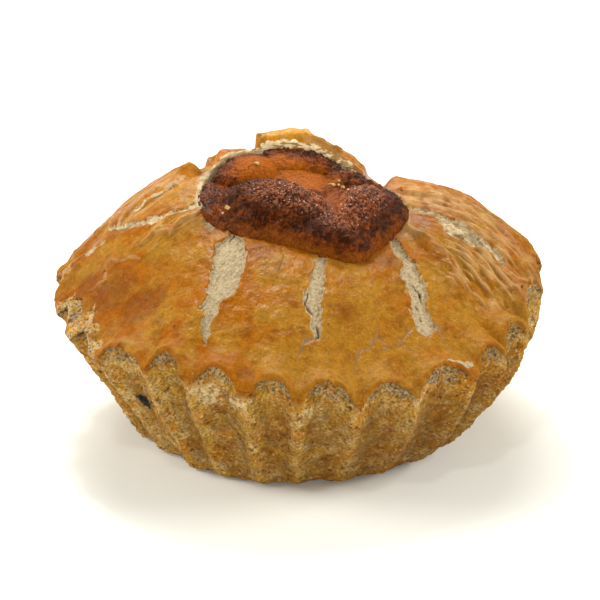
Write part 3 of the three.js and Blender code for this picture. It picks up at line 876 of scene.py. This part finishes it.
def lid_piece():
    angle, _, arch = columns_round(COLUMNS_A_FRONT_FLUTE, COLUMNS_A_BACK_FLUTE)
    share = np.linspace(1, 0, LID_TOP_ROWS)[:, None]
    top = lid_top(angle[None], arch[None], share)
    under = np.stack([lid_under(angle, arch, s, 0.0) for s in LID_UNDER_SHARES])
    lip = between_rings(top[-1], under[0], (np.arange(LIP_ROWS) + 1) / (LIP_ROWS + 1))
    up = np.array(EDGE_ROWS_UP)
    edge = between_rings(under[-1], top[0], up)
    share = np.broadcast_to(share, top.shape[:2])
    top_off, shown = lid_surface(top, share)
    layers = np.stack([lip[..., 0] / 5, lip[..., 1] / 5, lip[..., 2] / FLAKE_THICKNESS], -1)
    lip_off = LIP_LAYERS * noise_at(layers, 1.0, 6, 2) + LIP_FRAY * noise_at(lip, 0.9, 7, 2)
    flaky = FLAKE_RAGGEDNESS * noise_at(top, 1.5, 10, 3) * backness(angle[None]) * smooth(1 - share / 0.05)
    rim = noise_at(top, 1.8, 9, 3)
    rim_off = RIM_LUMPS * rim * smooth((share - 0.93) / 0.05) * (0.25 + 0.75 * arch[None])
    shoulder = RIDGE_SHOULDER * (1 - arch)
    from_rim = np.linalg.norm(top - top[:1], axis=-1)
    top_off = top_off + rim_off + flaky - shoulder * np.exp(-((from_rim / RIDGE_SHOULDER_WIDTH) ** 2))
    down = np.linalg.norm(edge - top[:1], axis=-1)
    edge_off = EDGE_LUMPS * noise_at(edge, 1.2, 8, 2) * up[:, None]
    edge_off = edge_off - shoulder * np.exp(-((down / RIDGE_SHOULDER_WIDTH) ** 2))
    edge_off = edge_off + knobs_height(edge[..., 0], edge[..., 1], 0.0) * up[:, None]
    whole = np.concatenate([top, lip, under, edge])
    off = np.concatenate([top_off, lip_off, np.zeros(under.shape[:2]), edge_off])
    whole = push_out(whole, off, True)

    def over_all(values, on_lip, on_under, on_edge):
        sizes = [lip.shape[:2], under.shape[:2], edge.shape[:2]]
        rest = [np.broadcast_to(value, size) for size, value in zip(sizes, (on_lip, on_under, on_edge))]
        return np.concatenate([values] + rest)

    ridge = 1 - arch[None]
    lit = bumps(angle[None], PAINTED_LIT_LIP)
    # The flaky edge and the cuts painted brighter as if lit, partly on top of their own cream
    flaky_lit_top = np.maximum(lit * smooth(1 - share / 0.08), CUT_PAINTED_LIGHT * shown.pop("cut"))
    attributes = {key: over_all(values, 0.0, 0.0, 0.0) for key, values in shown.items()}
    attributes["raw"] = over_all(shown["raw"], 2.0, -1.0, -1.0)
    for key, on_lip in (("rough", -1.0), ("yellow", 0.0), ("pale", 0.0)):
        at_rim = shown[key][0]
        attributes[key] = over_all(shown[key], on_lip, at_rim, at_rim)
    attributes["lip"] = over_all(flaky_lit_top, lit, 0.0, 0.0)
    attributes["hole"] = over_all(holes_inside(top, rim), 0.0, 0.0, holes_inside(edge, 0.0))
    glazed = 1 - ridge * down / TONGUE_FADE
    lowest = 1 - ridge * LID_EDGE_THICKNESS / TONGUE_FADE
    attributes["glazed"] = over_all(1 + from_rim, 1.0, lowest, glazed)
    attributes["rim"] = over_all(smooth((share - 0.96) / 0.04), 0.0, 1.0, 1.0)
    attributes["arch"] = np.broadcast_to(arch, whole.shape[:2])
    return skin_object("glazed_lid", whole, attributes)


# Case
def spots_at(points, pitch, largest, seed):
    """Round spots scattered about one pitch apart: 1 in a spot's middle, 0 from its edge outwards."""
    shift = np.array((seed * 3.7, seed * 9.1, seed * 1.3))
    values = []
    for place in points.reshape(-1, 3) / pitch + shift:
        distances, centres = noise.voronoi(Vector(place))
        lot = (centres[0].x * 7.31 + centres[0].y * 3.17) % 1
        values.append(max(0.0, 1 - distances[0] * pitch / (largest * lot + 1e-6)))
    return np.array(values).reshape(points.shape[:-1])


def wall_rows(angle, scoop, arch):
    share = np.append(np.linspace(0, 1, WALL_ROWS - 1), 1)[:, None]
    share[-2] = 1 - WALL_LAST_ROW
    top = lid_under(angle, arch, 1.0, SEAM)[:, 2]
    merging = smooth(1 - (1 - share) * top / TONGUE_MERGE) * (1 - smooth(arch / 0.3))
    merged = mix(scoop, np.minimum(scoop, LID_EDGE_FOLLOWS * arch), merging)
    radius = wall_radius(angle[None], merged, share)
    foot = smooth(share * top / BASE_EDGE_ROUND)
    radius = radius - BASE_EDGE_ROUND * (1 - foot)
    z = share * top[None]
    for at, height, spread, reach, out in WALL_SWELLS:
        radius = radius + out * hill(angle[None], at, spread) * np.exp(-(((z - height) / reach) ** 2))
    return circle(angle, radius, z)


def case_piece():
    angle, scoop, arch = columns_round(COLUMNS_A_FRONT_FLUTE, COLUMNS_A_BACK_FLUTE)
    wall = wall_rows(angle, scoop, arch)
    below = wall[-1:, :, 2] - wall[..., 2]
    ragged = noise_at(wall, 2.2, 11, 3)
    fine = noise_at(wall, 0.8, 12, 3)
    deeper = HALF_MOON + bumps(angle, HALF_MOON_MORE)
    moon = arch_rise(angle) * arch + deeper * arch**0.5 + 0.45 * ragged + 0.2 * fine - below
    in_moon = soft_edge(moon, 1.1) * smooth(arch / 0.15)
    pits = smooth(2.5 * spots_at(wall, *PITS))
    grains = smooth(2.5 * spots_at(wall, *GRAINS))
    speck = spot_inside(wall, *SPECK) + 0.25 * fine
    holes = holes_inside(wall, ragged)
    cream = np.maximum.reduce([spot_inside(wall, *spot) for spot in CREAMY]) + 0.3 * ragged
    off = WALL_UNEVENNESS * noise_at(wall, 5.0, 15) + WALL_LUMPS * ragged + WALL_FRAY * fine
    off = off - HALF_MOON_DEPTH * in_moon + 0.20 * fine * in_moon
    off = off - PIT_DEPTH * pits + GRAIN_HEIGHT * grains - HOLE_DEPTH * holes
    off = off + smooth(2 * speck) * (0.3 * noise_at(wall, 0.5, 16) + 0.1)
    seam = 1 - (1 - arch[None]) * smooth(1 - below / 1.2)
    foot = smooth((wall[..., 2] - 0.1) / 0.5)
    off = off * foot * seam
    off = off + FOOT_CRUMBS * noise_at(wall, 0.9, 17, 2) * foot * smooth((2.5 - wall[..., 2]) / 1.5)
    wall = push_out(wall, off)
    seat = np.stack([lid_under(angle, arch, s, GAP) for s in (SEAT_START, LID_SEAT)])
    seat_radius = np.hypot(seat[1, :, 0], seat[1, :, 1])
    floor = circle(angle, FLOOR_RADIUS, FLOOR_THICKNESS)[None]
    middle_radius = mix(FLOOR_RADIUS, seat_radius, INSIDE_BULGE)
    middle = circle(angle, middle_radius, mix(FLOOR_THICKNESS, seat[1, :, 2], 0.5))[None]
    whole = np.concatenate([wall, seat, middle, floor])
    inner = np.zeros((4, len(angle)))
    glazed = (1 - (LID_EDGE_THICKNESS + below) / TONGUE_FADE) * (1 - arch) - arch
    shown = {
        "moon": (in_moon, 1.0),
        # Painted shadow just under the lid's lip over the arches
        "painted_lip_shadow": (smooth(arch / 0.3) * smooth(1 - below / 0.8), 0.0),
        "glazed": (glazed, -1.0),
        "pit": (np.maximum(pits, holes), 0.0),
        "grain": (grains, 0.0),
        "cream": (smooth(1.5 * cream), 0.0),
        "speck": (smooth(3 * speck), 0.0),
        "below": (below, 0.0),
    }
    attributes = {key: np.concatenate([values, inner + inside]) for key, (values, inside) in shown.items()}
    attributes["scoop"] = np.broadcast_to(scoop, whole.shape[:2])
    attributes["browner"] = np.broadcast_to(hill(angle, *BROWNER_SIDE), whole.shape[:2])
    return skin_object("fluted_case", whole, attributes, (0, 0, 0), (0, 0, FLOOR_THICKNESS))


# Curd
def lobe_height(lobe, x, y):
    *oval, top, foot = lobe
    along, across = turned(x, y, oval)
    return mix(foot, top, np.sqrt(np.maximum(0, 1 - along * along - across * across)))


def curd_top(angle, share):
    inset = mix(-CURD_OVERHANG, LIP_SLANT_AT_BACK + GAP, backness(angle))
    ex, ey, ez = opening_edge(angle, inset)
    x = mix(OPENING_CENTRE[0], ex, share)
    y = mix(OPENING_CENTRE[1], ey, share)
    sink = mix(CURD_SINK_AT_FRONT, CURD_SINK_AT_BACK, backness(angle))
    edge = ez - sink + CURD_RISE_UNDER_FLAP * flap_lift(angle, 0)
    pool = mix(RIM_HEIGHT + CURD_DISH_HEIGHT, edge, share * share)
    top = pool
    for lobe in LOBES:
        top = np.maximum(top, RIM_HEIGHT + lobe_height(lobe, x, y))
    z = mix(pool, top, np.sqrt(1 - share**CURD_ROUNDING))
    return np.stack([x, y, z], -1)


def curd_browning(angle, top, blotch):
    """How burnt each place of the curd is, and the lighter band along its front foot."""
    x, y, z = top[..., 0], top[..., 1], top[..., 2]
    orange = np.zeros(np.shape(x))
    for *oval, strength in ORANGE_AREAS:
        along, across = turned(x, y, oval)
        inside = smooth(1.25 * (1.15 - np.hypot(along, across)) + 0.15 * blotch)
        orange = np.maximum(orange, strength * inside)
    above = z - RIM_HEIGHT - opening_value(angle, 2)
    band = smooth((CURD_BAND_HEIGHT + 0.6 * blotch - above) / 2.0 + 0.3) * hill(angle, *ORANGE_BAND)
    return (1 - orange) * (1 - 0.75 * band), band


def curd_piece():
    angle, _, arch = columns_round(CURD_COLUMNS_A_FLUTE, CURD_COLUMNS_A_FLUTE)
    share = np.linspace(1, CURD_LAST_RING, CURD_TOP_ROWS)[:, None]
    top = curd_top(angle[None], share)
    blotch = noise_at(top, 2.6, 21, 3)
    char, band = curd_browning(angle, top, blotch)
    wrinkle = noise_at(top, 1.2, 22, 2)
    knobs = np.abs(noise_at(top, 0.7, 23, 3))
    level = top[..., 2] - RIM_HEIGHT - opening_value(angle[None], 2)
    crest = smooth((level - CREST_ABOVE) / CREST_FADE) * smooth(2 * char)
    rough = 0.05 + 0.95 * smooth(1.5 * char - 0.2)
    off = (CURD_LUMPS + CURD_LUMPS_MORE * smooth(char)) * noise_at(top, 3.2, 24, 2)
    off = off + rough * (CURD_WRINKLES * wrinkle + CURD_KNOBS * knobs)
    top = push_out(top, off)
    floor = circle(angle, FLOOR_RADIUS - GAP, FLOOR_THICKNESS + GAP)
    seat = lid_under(angle, arch, LID_SEAT, 2 * GAP, 0.0)
    seat_radius = np.hypot(seat[:, 0], seat[:, 1])
    middle_radius = mix(FLOOR_RADIUS, seat_radius, INSIDE_BULGE) - GAP
    middle = circle(angle, middle_radius, mix(FLOOR_THICKNESS, seat[:, 2], 0.5))
    rings = [floor, middle, circle(angle, seat_radius - GAP, seat[:, 2])]
    rings += [lid_under(angle, arch, s, GAP, 0.0) for s in CURD_UNDER_SHARES]
    neck_x, neck_y, _ = opening_edge(angle, lip_slant(angle) + GAP)
    rings.append(np.stack([neck_x, neck_y, rings[-1][:, 2]], -1))
    under = np.stack(rings)
    whole = np.concatenate([under, top])
    pad = np.zeros(under.shape[:2])
    attributes = {
        "char": np.concatenate([pad, char]),
        "band": np.concatenate([pad + 1, band]),
        "knobs": np.concatenate([pad, knobs]),
        "crest": np.concatenate([pad, crest]),
    }
    last = tuple(top[-1].mean(0))
    return skin_object("baked_curd", whole, attributes, (0, 0, FLOOR_THICKNESS + GAP), last)


# Crumbs
def height_at(piece, x, y):
    """The height in mm of a piece's skin at a place seen from above."""
    ray = piece.ray_cast(Vector((x * MM, y * MM, 1.0)), Vector((0, 0, -1)))
    return ray[1].z / MM


def crumbs_piece(lid, curd):
    points = []
    faces = []
    for number, (x, y, size, on_curd) in enumerate(CRUMBS):
        shape = bmesh.new()
        bmesh.ops.create_icosphere(shape, subdivisions=2, radius=0.5)
        balls = np.array([vertex.co for vertex in shape.verts])
        first = sum(len(part) for part in points)
        faces += [[first + vertex.index for vertex in face.verts] for face in shape.faces]
        shape.free()
        lumps = 1 + 0.5 * noise_at(balls, 0.45, 40 + number, 2)
        balls = balls * lumps[:, None] * np.array((1.15, 0.85, 0.7)) * size
        turn = 2.4 * number
        across = balls[:, 0] * math.cos(turn) - balls[:, 1] * math.sin(turn)
        along = balls[:, 0] * math.sin(turn) + balls[:, 1] * math.cos(turn)
        z = height_at(curd if on_curd else lid, x, y) + 0.2 * size
        points.append(np.stack([across + x, along + y, balls[:, 2] + z], -1))
    mesh = bpy.data.meshes.new("pastry_crumbs")
    mesh.from_pydata((np.concatenate(points) * MM).tolist(), [], faces)
    return add_object("pastry_crumbs", mesh)


# Material helpers
class Shader:
    """A material's node tree, with one short call for each kind of node."""

    def __init__(self, name):
        self.material = bpy.data.materials.new(name)
        self.material.use_nodes = True
        self.tree = self.material.node_tree
        self.surface = self.tree.nodes["Principled BSDF"]
        self.place = self.node("TexCoord").outputs["Object"]

    def put(self, socket, value):
        """Fills a socket with a value, a colour, another socket or the mesh attribute of a name."""
        if isinstance(value, str):
            value = self.attribute(value)
        if isinstance(value, bpy.types.NodeSocket):
            self.tree.links.new(value, socket)
        elif socket.type == "RGBA":
            socket.default_value = (*value, 1.0)
        else:
            socket.default_value = value

    def node(self, kind, **sockets):
        """A new node with some sockets filled; a socket's name has underscores for its spaces."""
        node = self.tree.nodes.new("ShaderNode" + kind)
        for name, value in sockets.items():
            self.put(node.inputs[name.replace("_", " ")], value)
        return node

    def attribute(self, key):
        node = self.node("Attribute")
        node.attribute_name = key
        return node.outputs["Fac"]

    def noise(self, size_mm, detail=2.0, roughness=0.5, place=None):
        shape = {"Scale": 1 / (size_mm * MM), "Detail": detail, "Roughness": roughness}
        return self.node("TexNoise", Vector=place or self.place, **shape).outputs["Fac"]

    def layers(self, size_mm, flatness):
        """Noise pressed flat, so that it shows as thin level layers."""
        pressed = self.node("Mapping", Vector=self.place, Scale=(1.0, 1.0, flatness))
        return self.noise(size_mm, place=pressed.outputs["Vector"])

    def math(self, operation, a, b):
        node = self.node("Math")
        node.operation = operation
        self.put(node.inputs[0], a)
        self.put(node.inputs[1], b)
        return node.outputs[0]

    def times(self, a, b):
        return self.math("MULTIPLY", a, b)

    def between(self, value, low, high, to_low=0.0, to_high=1.0):
        """value taken from low..high to to_low..to_high, smoothly and with hard ends."""
        ends = {"From_Min": low, "From_Max": high, "To_Min": to_low, "To_Max": to_high}
        node = self.node("MapRange", Value=value, **ends)
        node.interpolation_type = "SMOOTHSTEP"
        return node.outputs["Result"]

    def clouds(self, noise, *ends):
        """Noise, given by its size, detail and roughness, taken between two ends."""
        return self.between(self.noise(*noise), *ends)

    def dots(self, pitch_mm, edge, middle, noise, *ends):
        """Dots round scattered points, only where clouds of noise let them show."""
        cells = self.node("TexVoronoi", Vector=self.place, Scale=1 / (pitch_mm * MM))
        return self.times(self.between(cells.outputs["Distance"], edge, middle), self.clouds(noise, *ends))

    def frayed(self, key, low, high, noise=(0.5, 2.0, 0.6), by=0.2):
        """An attribute as a share from 0 to 1, with its edge frayed by noise."""
        off = self.clouds(noise, 0.3, 0.7, -by, by)
        return self.between(self.math("ADD", key, off), low, high)

    def blend(self, share, a, b, strength=1.0):
        """Colour a with colour b over it, as strongly as share and strength say."""
        node = self.node("Mix")
        node.data_type = "RGBA"
        sockets = [node.inputs[number] for number in MIX_SOCKETS]
        for socket, value in zip(sockets, (self.times(share, strength), a, b)):
            self.put(socket, value)
        return node.outputs[MIX_OUTPUT]

    def shade(self, colour, factor):
        return self.node("HueSaturation", Color=colour, Value=factor).outputs["Color"]

    def finish(self, colour, roughness, specular, tint=(1.0, 1.0, 1.0), relief=()):
        """Sets the surface; relief has the size, detail, roughness and depth of each layer of noise."""
        under = {}
        for size_mm, detail, rough, depth_mm in relief:
            height = self.noise(size_mm, detail, rough)
            bump = self.node("Bump", Distance=depth_mm * MM, Height=height, **under)
            under = {"Normal": bump.outputs["Normal"]}
        values = {"Base Color": colour, "Roughness": roughness, "Specular IOR Level": specular}
        for name, value in {**values, "Specular Tint": tint, **under}.items():
            self.put(self.surface.inputs[name], value)
        return self.material


# Where a colour mix has its share and its two colours, and where it gives the mixed colour
MIX_SOCKETS = (0, 6, 7)
MIX_OUTPUT = 2

# Materials
GLAZE_GOLD = (0.230, 0.066, 0.001)
GLAZE_TAN = (0.246, 0.109, 0.010)
GLAZE_BROWN = (0.135, 0.033, 0.002)
# Pale glaze for the real pale dots, and the colour of the painted sheen and highlights
GLAZE_PALE_AND_SHEEN = (0.40, 0.24, 0.10)
LIP_ORANGE = (0.23, 0.065, 0.005)
DOUGH_PALE = (0.37, 0.29, 0.175)
DOUGH_DARK = (0.255, 0.19, 0.105)
DOUGH_SHADE_AND_DARK_DOTS = (0.035, 0.016, 0.007)
FINE_CRACK = (0.18, 0.125, 0.07)
FLAKY_CREAM_AND_LIGHT = (0.84, 0.67, 0.40)
FLAKY_TAN = (0.68, 0.50, 0.27)
CASE_TAN = (0.335, 0.178, 0.025)
CASE_BROWN = (0.115, 0.037, 0.004)
CASE_ORANGE = (0.330, 0.126, 0.009)
CASE_PALE = (0.51, 0.365, 0.155)
CASE_CREAM = (0.54, 0.42, 0.23)
MOON_PALE = (0.34, 0.255, 0.155)
MOON_DARK = (0.068, 0.036, 0.017)
SPECK_BLACK = (0.004, 0.006, 0.008)
CURD_DARK = (0.026, 0.005, 0.001)
CURD_BROWN = (0.138, 0.028, 0.003)
CURD_ORANGE = (0.262, 0.064, 0.0005)
CURD_BAND = (0.110, 0.030, 0.003)
CURD_TIP_SHEEN = (0.33, 0.110, 0.050)
CURD_PAINTED_GLINT = (0.66, 0.38, 0.28)
WARM_GLINT = (1.0, 0.52, 0.32)
GOLDEN_GLINT = (1.0, 0.70, 0.34)
CRUMB_PALE = (0.46, 0.34, 0.18)


def speckled(s, size_mm, dark, pale):
    return s.blend(s.clouds((size_mm, 3.0, 0.7), 0.38, 0.58), dark, pale)


def grained(s, colour, size_mm, amount):
    """The colour a little darker and lighter in fine grains."""
    return s.shade(colour, s.clouds((size_mm, 2.0, 0.6), 0.3, 0.7, 1 - amount, 1 + amount))


def dry_pastry(s):
    """Unglazed baked pastry, the same on the case and on the lid's edge."""
    colour = s.blend(s.clouds((2.6, 4.0, 0.65), 0.42, 0.70), CASE_TAN, CASE_PALE)
    colour = s.blend(s.clouds((4.5, 3.0, 0.6), 0.45, 0.60), colour, CASE_ORANGE, 0.7)
    colour = s.blend(s.clouds((1.3, 4.0, 0.75), 0.52, 0.62), colour, CASE_BROWN, 0.8)
    flakes = s.dots(0.9, 0.32, 0.22, (2.2, 2.0, 0.5), 0.44, 0.54)
    colour = s.blend(flakes, colour, CASE_PALE, 0.6)
    return grained(s, colour, 0.5, 0.38)


def glaze(s):
    """Egg glaze: orange to tan in large clouds, browner in blotches, with fine grains and pale dots, painted
    sheen and a painted glow where thin pastry is lit through.
    """
    tan = s.math("ADD", s.clouds((6.0, 3.0, 0.55), 0.42, 0.64), "yellow")
    colour = s.blend(s.math("MINIMUM", tan, 1.0), GLAZE_GOLD, GLAZE_TAN)
    blotches = s.times(s.clouds((4.0, 4.0, 0.65), 0.50, 0.68), 0.55)
    browned = s.math("MAXIMUM", blotches, s.times("browned", 0.7))
    colour = s.blend(browned, colour, GLAZE_BROWN)
    dots = s.dots(1.3, 0.16, 0.08, (3.0, 2.0, 0.5), 0.50, 0.62)
    colour = s.blend(dots, colour, GLAZE_PALE_AND_SHEEN, 0.5)
    # Painted sheen: paler glaze over the wrinkled stretches
    colour = s.blend("pale", colour, GLAZE_PALE_AND_SHEEN)
    # Painted glow: thin lifted pastry brightened as if light shone through it
    colour = s.shade(colour, s.math("ADD", "painted_glow", 1.0))
    colour = s.shade(colour, s.clouds((1.4, 3.0, 0.6), 0.3, 0.7, 0.86, 1.14))
    return grained(s, colour, 0.4, 0.17)


def rough_pastry(s):
    """Torn and crumbly pastry of the half-moons and of the broken rim."""
    flecks = s.clouds((1.1, 3.0, 0.7), 0.42, 0.60)
    return s.blend(flecks, dry_pastry(s), speckled(s, 0.5, MOON_DARK, MOON_PALE))


def flaky_pastry(s):
    """The thin light-coloured layers of the opening's torn edge, their cream partly painted light."""
    colour = speckled(s, 0.6, FLAKY_TAN, FLAKY_CREAM_AND_LIGHT)
    return s.blend(s.between(s.layers(2.0, 4.0), 0.50, 0.58, 0.0, 0.85), colour, GLAZE_TAN)


def lid_material():
    s = Shader("egg_glazed_pastry")
    lip = s.times("rim", s.between("arch", 0.15, 0.6))
    lip = s.times(lip, s.clouds((5.0, 2.0, 0.5), 0.40, 0.62))
    colour = s.blend(lip, glaze(s), LIP_ORANGE, 0.75)
    # Painted highlights along the crease tops and the fine wrinkles' crests
    painted_highlight = s.math("MAXIMUM", s.times("painted_highlight", 0.38), s.times("crest", 0.6))
    colour = s.blend(painted_highlight, colour, GLAZE_PALE_AND_SHEEN)
    colour = s.blend("fine", colour, FINE_CRACK, 0.65)
    colour = s.blend("grey", colour, FINE_CRACK, 0.4)
    colour = s.blend(s.frayed("glazed", 0.15, 0.75), dry_pastry(s), colour)
    rough = s.frayed("rough", -0.2, 0.4, (1.4, 3.0, 0.6), 0.6)
    colour = s.blend(rough, colour, rough_pastry(s))
    raw = s.frayed("raw", -0.06, 0.06)
    dough = speckled(s, 0.45, DOUGH_DARK, DOUGH_PALE)
    # Raw dough, turning to flaky cream that is partly painted light on the lit edges and cuts
    colour = s.blend(raw, colour, s.blend("lip", dough, flaky_pastry(s)))
    # Painted shade in the fissures and holes, and the dark dots' own dark colour
    dark = s.math("MAXIMUM", "fissure", "hole")
    colour = s.blend(dark, colour, DOUGH_SHADE_AND_DARK_DOTS)
    shiny = s.between("glazed", 1.0, 9.0, 0.58, 0.30)
    dry = s.between(s.math("MAXIMUM", raw, rough), 0.0, 1.0, 0.30, 0.95)
    relief = ((0.5, 2.0, 0.6, 0.09), (1.6, 3.0, 0.5, 0.18))
    return s.finish(colour, s.math("MAXIMUM", shiny, dry), 0.075, GOLDEN_GLINT, relief)


def case_material():
    s = Shader("baked_case_pastry")
    # Lower scoops browner in patches: partly browning, partly painted shade in the hollows
    low_scoop = s.times(s.between("scoop", 0.2, 0.8), s.between("below", 3.0, 9.0))
    scoop_brown_and_shade = s.times(low_scoop, s.clouds((3.5, 3.0, 0.6), 0.30, 0.60))
    colour = s.blend(scoop_brown_and_shade, dry_pastry(s), CASE_BROWN, 0.55)
    lower = s.times("browner", s.between("below", 2.0, 7.0))
    colour = s.blend(lower, colour, CASE_BROWN, 0.45)
    colour = s.blend("grain", colour, CASE_PALE, 0.3)
    cream = s.times("cream", s.clouds((1.0, 3.0, 0.7), 0.38, 0.55))
    colour = s.blend(cream, colour, CASE_CREAM, 0.8)
    colour = s.blend(s.frayed("glazed", 0.15, 0.75), colour, glaze(s))
    colour = s.blend(s.frayed("moon", 0.25, 0.75), colour, rough_pastry(s))
    # Painted shade in the pits and holes, and painted shadow under the lid's lip
    dark = s.math("MAXIMUM", s.times("pit", 0.85), s.times("painted_lip_shadow", 0.7))
    colour = s.blend(dark, colour, DOUGH_SHADE_AND_DARK_DOTS)
    colour = s.blend("speck", colour, SPECK_BLACK)
    roughness = s.between("speck", 0.0, 1.0, 0.6, 0.2)
    relief = ((0.4, 2.0, 0.6, 0.40), (1.1, 3.0, 0.65, 0.60))
    return s.finish(colour, roughness, 0.15, GOLDEN_GLINT, relief)


def curd_material():
    s = Shader("baked_curd_skin")
    clouds = s.clouds((4.5, 3.0, 0.6), 0.32, 0.68, -0.24, 0.24)
    char = s.times("char", s.clouds((1.2, 4.0, 0.65), 0.3, 0.7, 0.7, 1.3))
    colour = s.blend(s.between(char, 0.05, 0.7), CURD_ORANGE, CURD_BROWN)
    colour = s.blend(s.between(s.math("ADD", char, clouds), 0.45, 1.15), colour, CURD_DARK)
    colour = s.blend("band", colour, CURD_BAND, 0.7)
    # Painted sheen on the knobs' tips along the crests
    tip_sheen = s.times(s.between("knobs", 0.15, 0.85), "crest")
    tip_sheen = s.times(tip_sheen, s.clouds((1.7, 3.0, 0.7), 0.35, 0.65, 0.4, 0.95))
    colour = s.blend(tip_sheen, colour, CURD_TIP_SHEEN)
    # Painted glints: small bright dots on the crests
    painted_glints = s.times(s.dots(0.8, 0.26, 0.14, (1.5, 3.0, 0.7), 0.45, 0.57), "crest")
    colour = s.blend(painted_glints, colour, CURD_PAINTED_GLINT, 0.95)
    roughness = s.between("char", 0.3, 0.9, 0.50, 0.09)
    relief = ((0.35, 2.0, 0.6, 0.28), (0.9, 2.5, 0.6, 0.28))
    return s.finish(grained(s, colour, 0.5, 0.30), roughness, 0.09, WARM_GLINT, relief)


def crumb_material():
    s = Shader("pastry_crumb")
    return s.finish(grained(s, speckled(s, 0.6, CASE_TAN, CRUMB_PALE), 0.3, 0.2), 0.8, 0.12)


def floor_material():
    s = Shader("white_table")
    return s.finish(s.blend(s.clouds((40.0, 2.0, 0.5), 0.3, 0.7), *FLOOR_TONES), 0.9, 0.1)


# Stage, lights and camera
def add_floor():
    side = FLOOR_HALF_SIDE
    mesh = bpy.data.meshes.new("table_top")
    corners = [(-side, -side, 0), (side, -side, 0), (side, side, 0), (-side, side, 0)]
    mesh.from_pydata(corners, [], [(0, 1, 2, 3)])
    mesh.materials.append(floor_material())
    floor = add_object("table_top", mesh)


def add_area_light(name, position_mm, side_mm, watts, colour):
    data = bpy.data.lights.new(name, "AREA")
    data.shape = "DISK"
    data.size = side_mm * MM
    data.energy = watts
    data.color = colour
    light = add_object(name, data)
    light.location = Vector(position_mm) * MM
    aim = Vector((0, 0, RIM_HEIGHT * MM)) - light.location
    light.rotation_euler = aim.to_track_quat("-Z", "Y").to_euler()


def add_lights():
    world = bpy.data.worlds.new("studio")
    world.use_nodes = True
    world.node_tree.nodes["Background"].inputs["Color"].default_value = (*SKY_COLOUR, 1.0)
    world.node_tree.nodes["Background"].inputs["Strength"].default_value = SKY_STRENGTH
    bpy.context.scene.world = world
    for name, place, side, watts in LIGHTS:
        add_area_light(name, place, side, watts, LIGHT_COLOUR)


def add_camera():
    data = bpy.data.cameras.new("camera")
    data.sensor_width = SENSOR_WIDTH
    data.lens = SENSOR_WIDTH * PIXELS_A_MM * CAMERA_DISTANCE / PICTURE_SIDE
    data.clip_end = 10
    camera = add_object("camera", data)
    tilt = math.radians(CAMERA_ELEVATION)
    up = Vector((0, math.sin(tilt), math.cos(tilt)))
    away = Vector((0, -math.cos(tilt), math.sin(tilt)))
    across = (PICTURE_SIDE / 2 - CENTRE_COLUMN) / PIXELS_A_MM
    rise = (CENTRE_ROW - PICTURE_SIDE / 2) / PIXELS_A_MM
    place = Vector((across, 0, RIM_HEIGHT)) + up * rise + away * CAMERA_DISTANCE
    camera.location = place * MM
    camera.rotation_euler = (math.radians(90 - CAMERA_ELEVATION), 0, 0)
    bpy.context.scene.camera = camera


def dress(piece, node, material):
    piece.data.materials.append(material)
    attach(piece, "root")
    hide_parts(node)


def main():
    add_camera()
    add_floor()
    add_lights()
    lid = lid_piece()
    curd = curd_piece()
    dress(case_piece(), "case", case_material())
    dress(lid, "lid", lid_material())
    dress(curd, "filling", curd_material())
    crumbs = crumbs_piece(lid, curd)
    crumbs.data.materials.append(crumb_material())
    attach(crumbs, "root")
    bpy.context.scene.view_settings.view_transform = "Standard"


main()
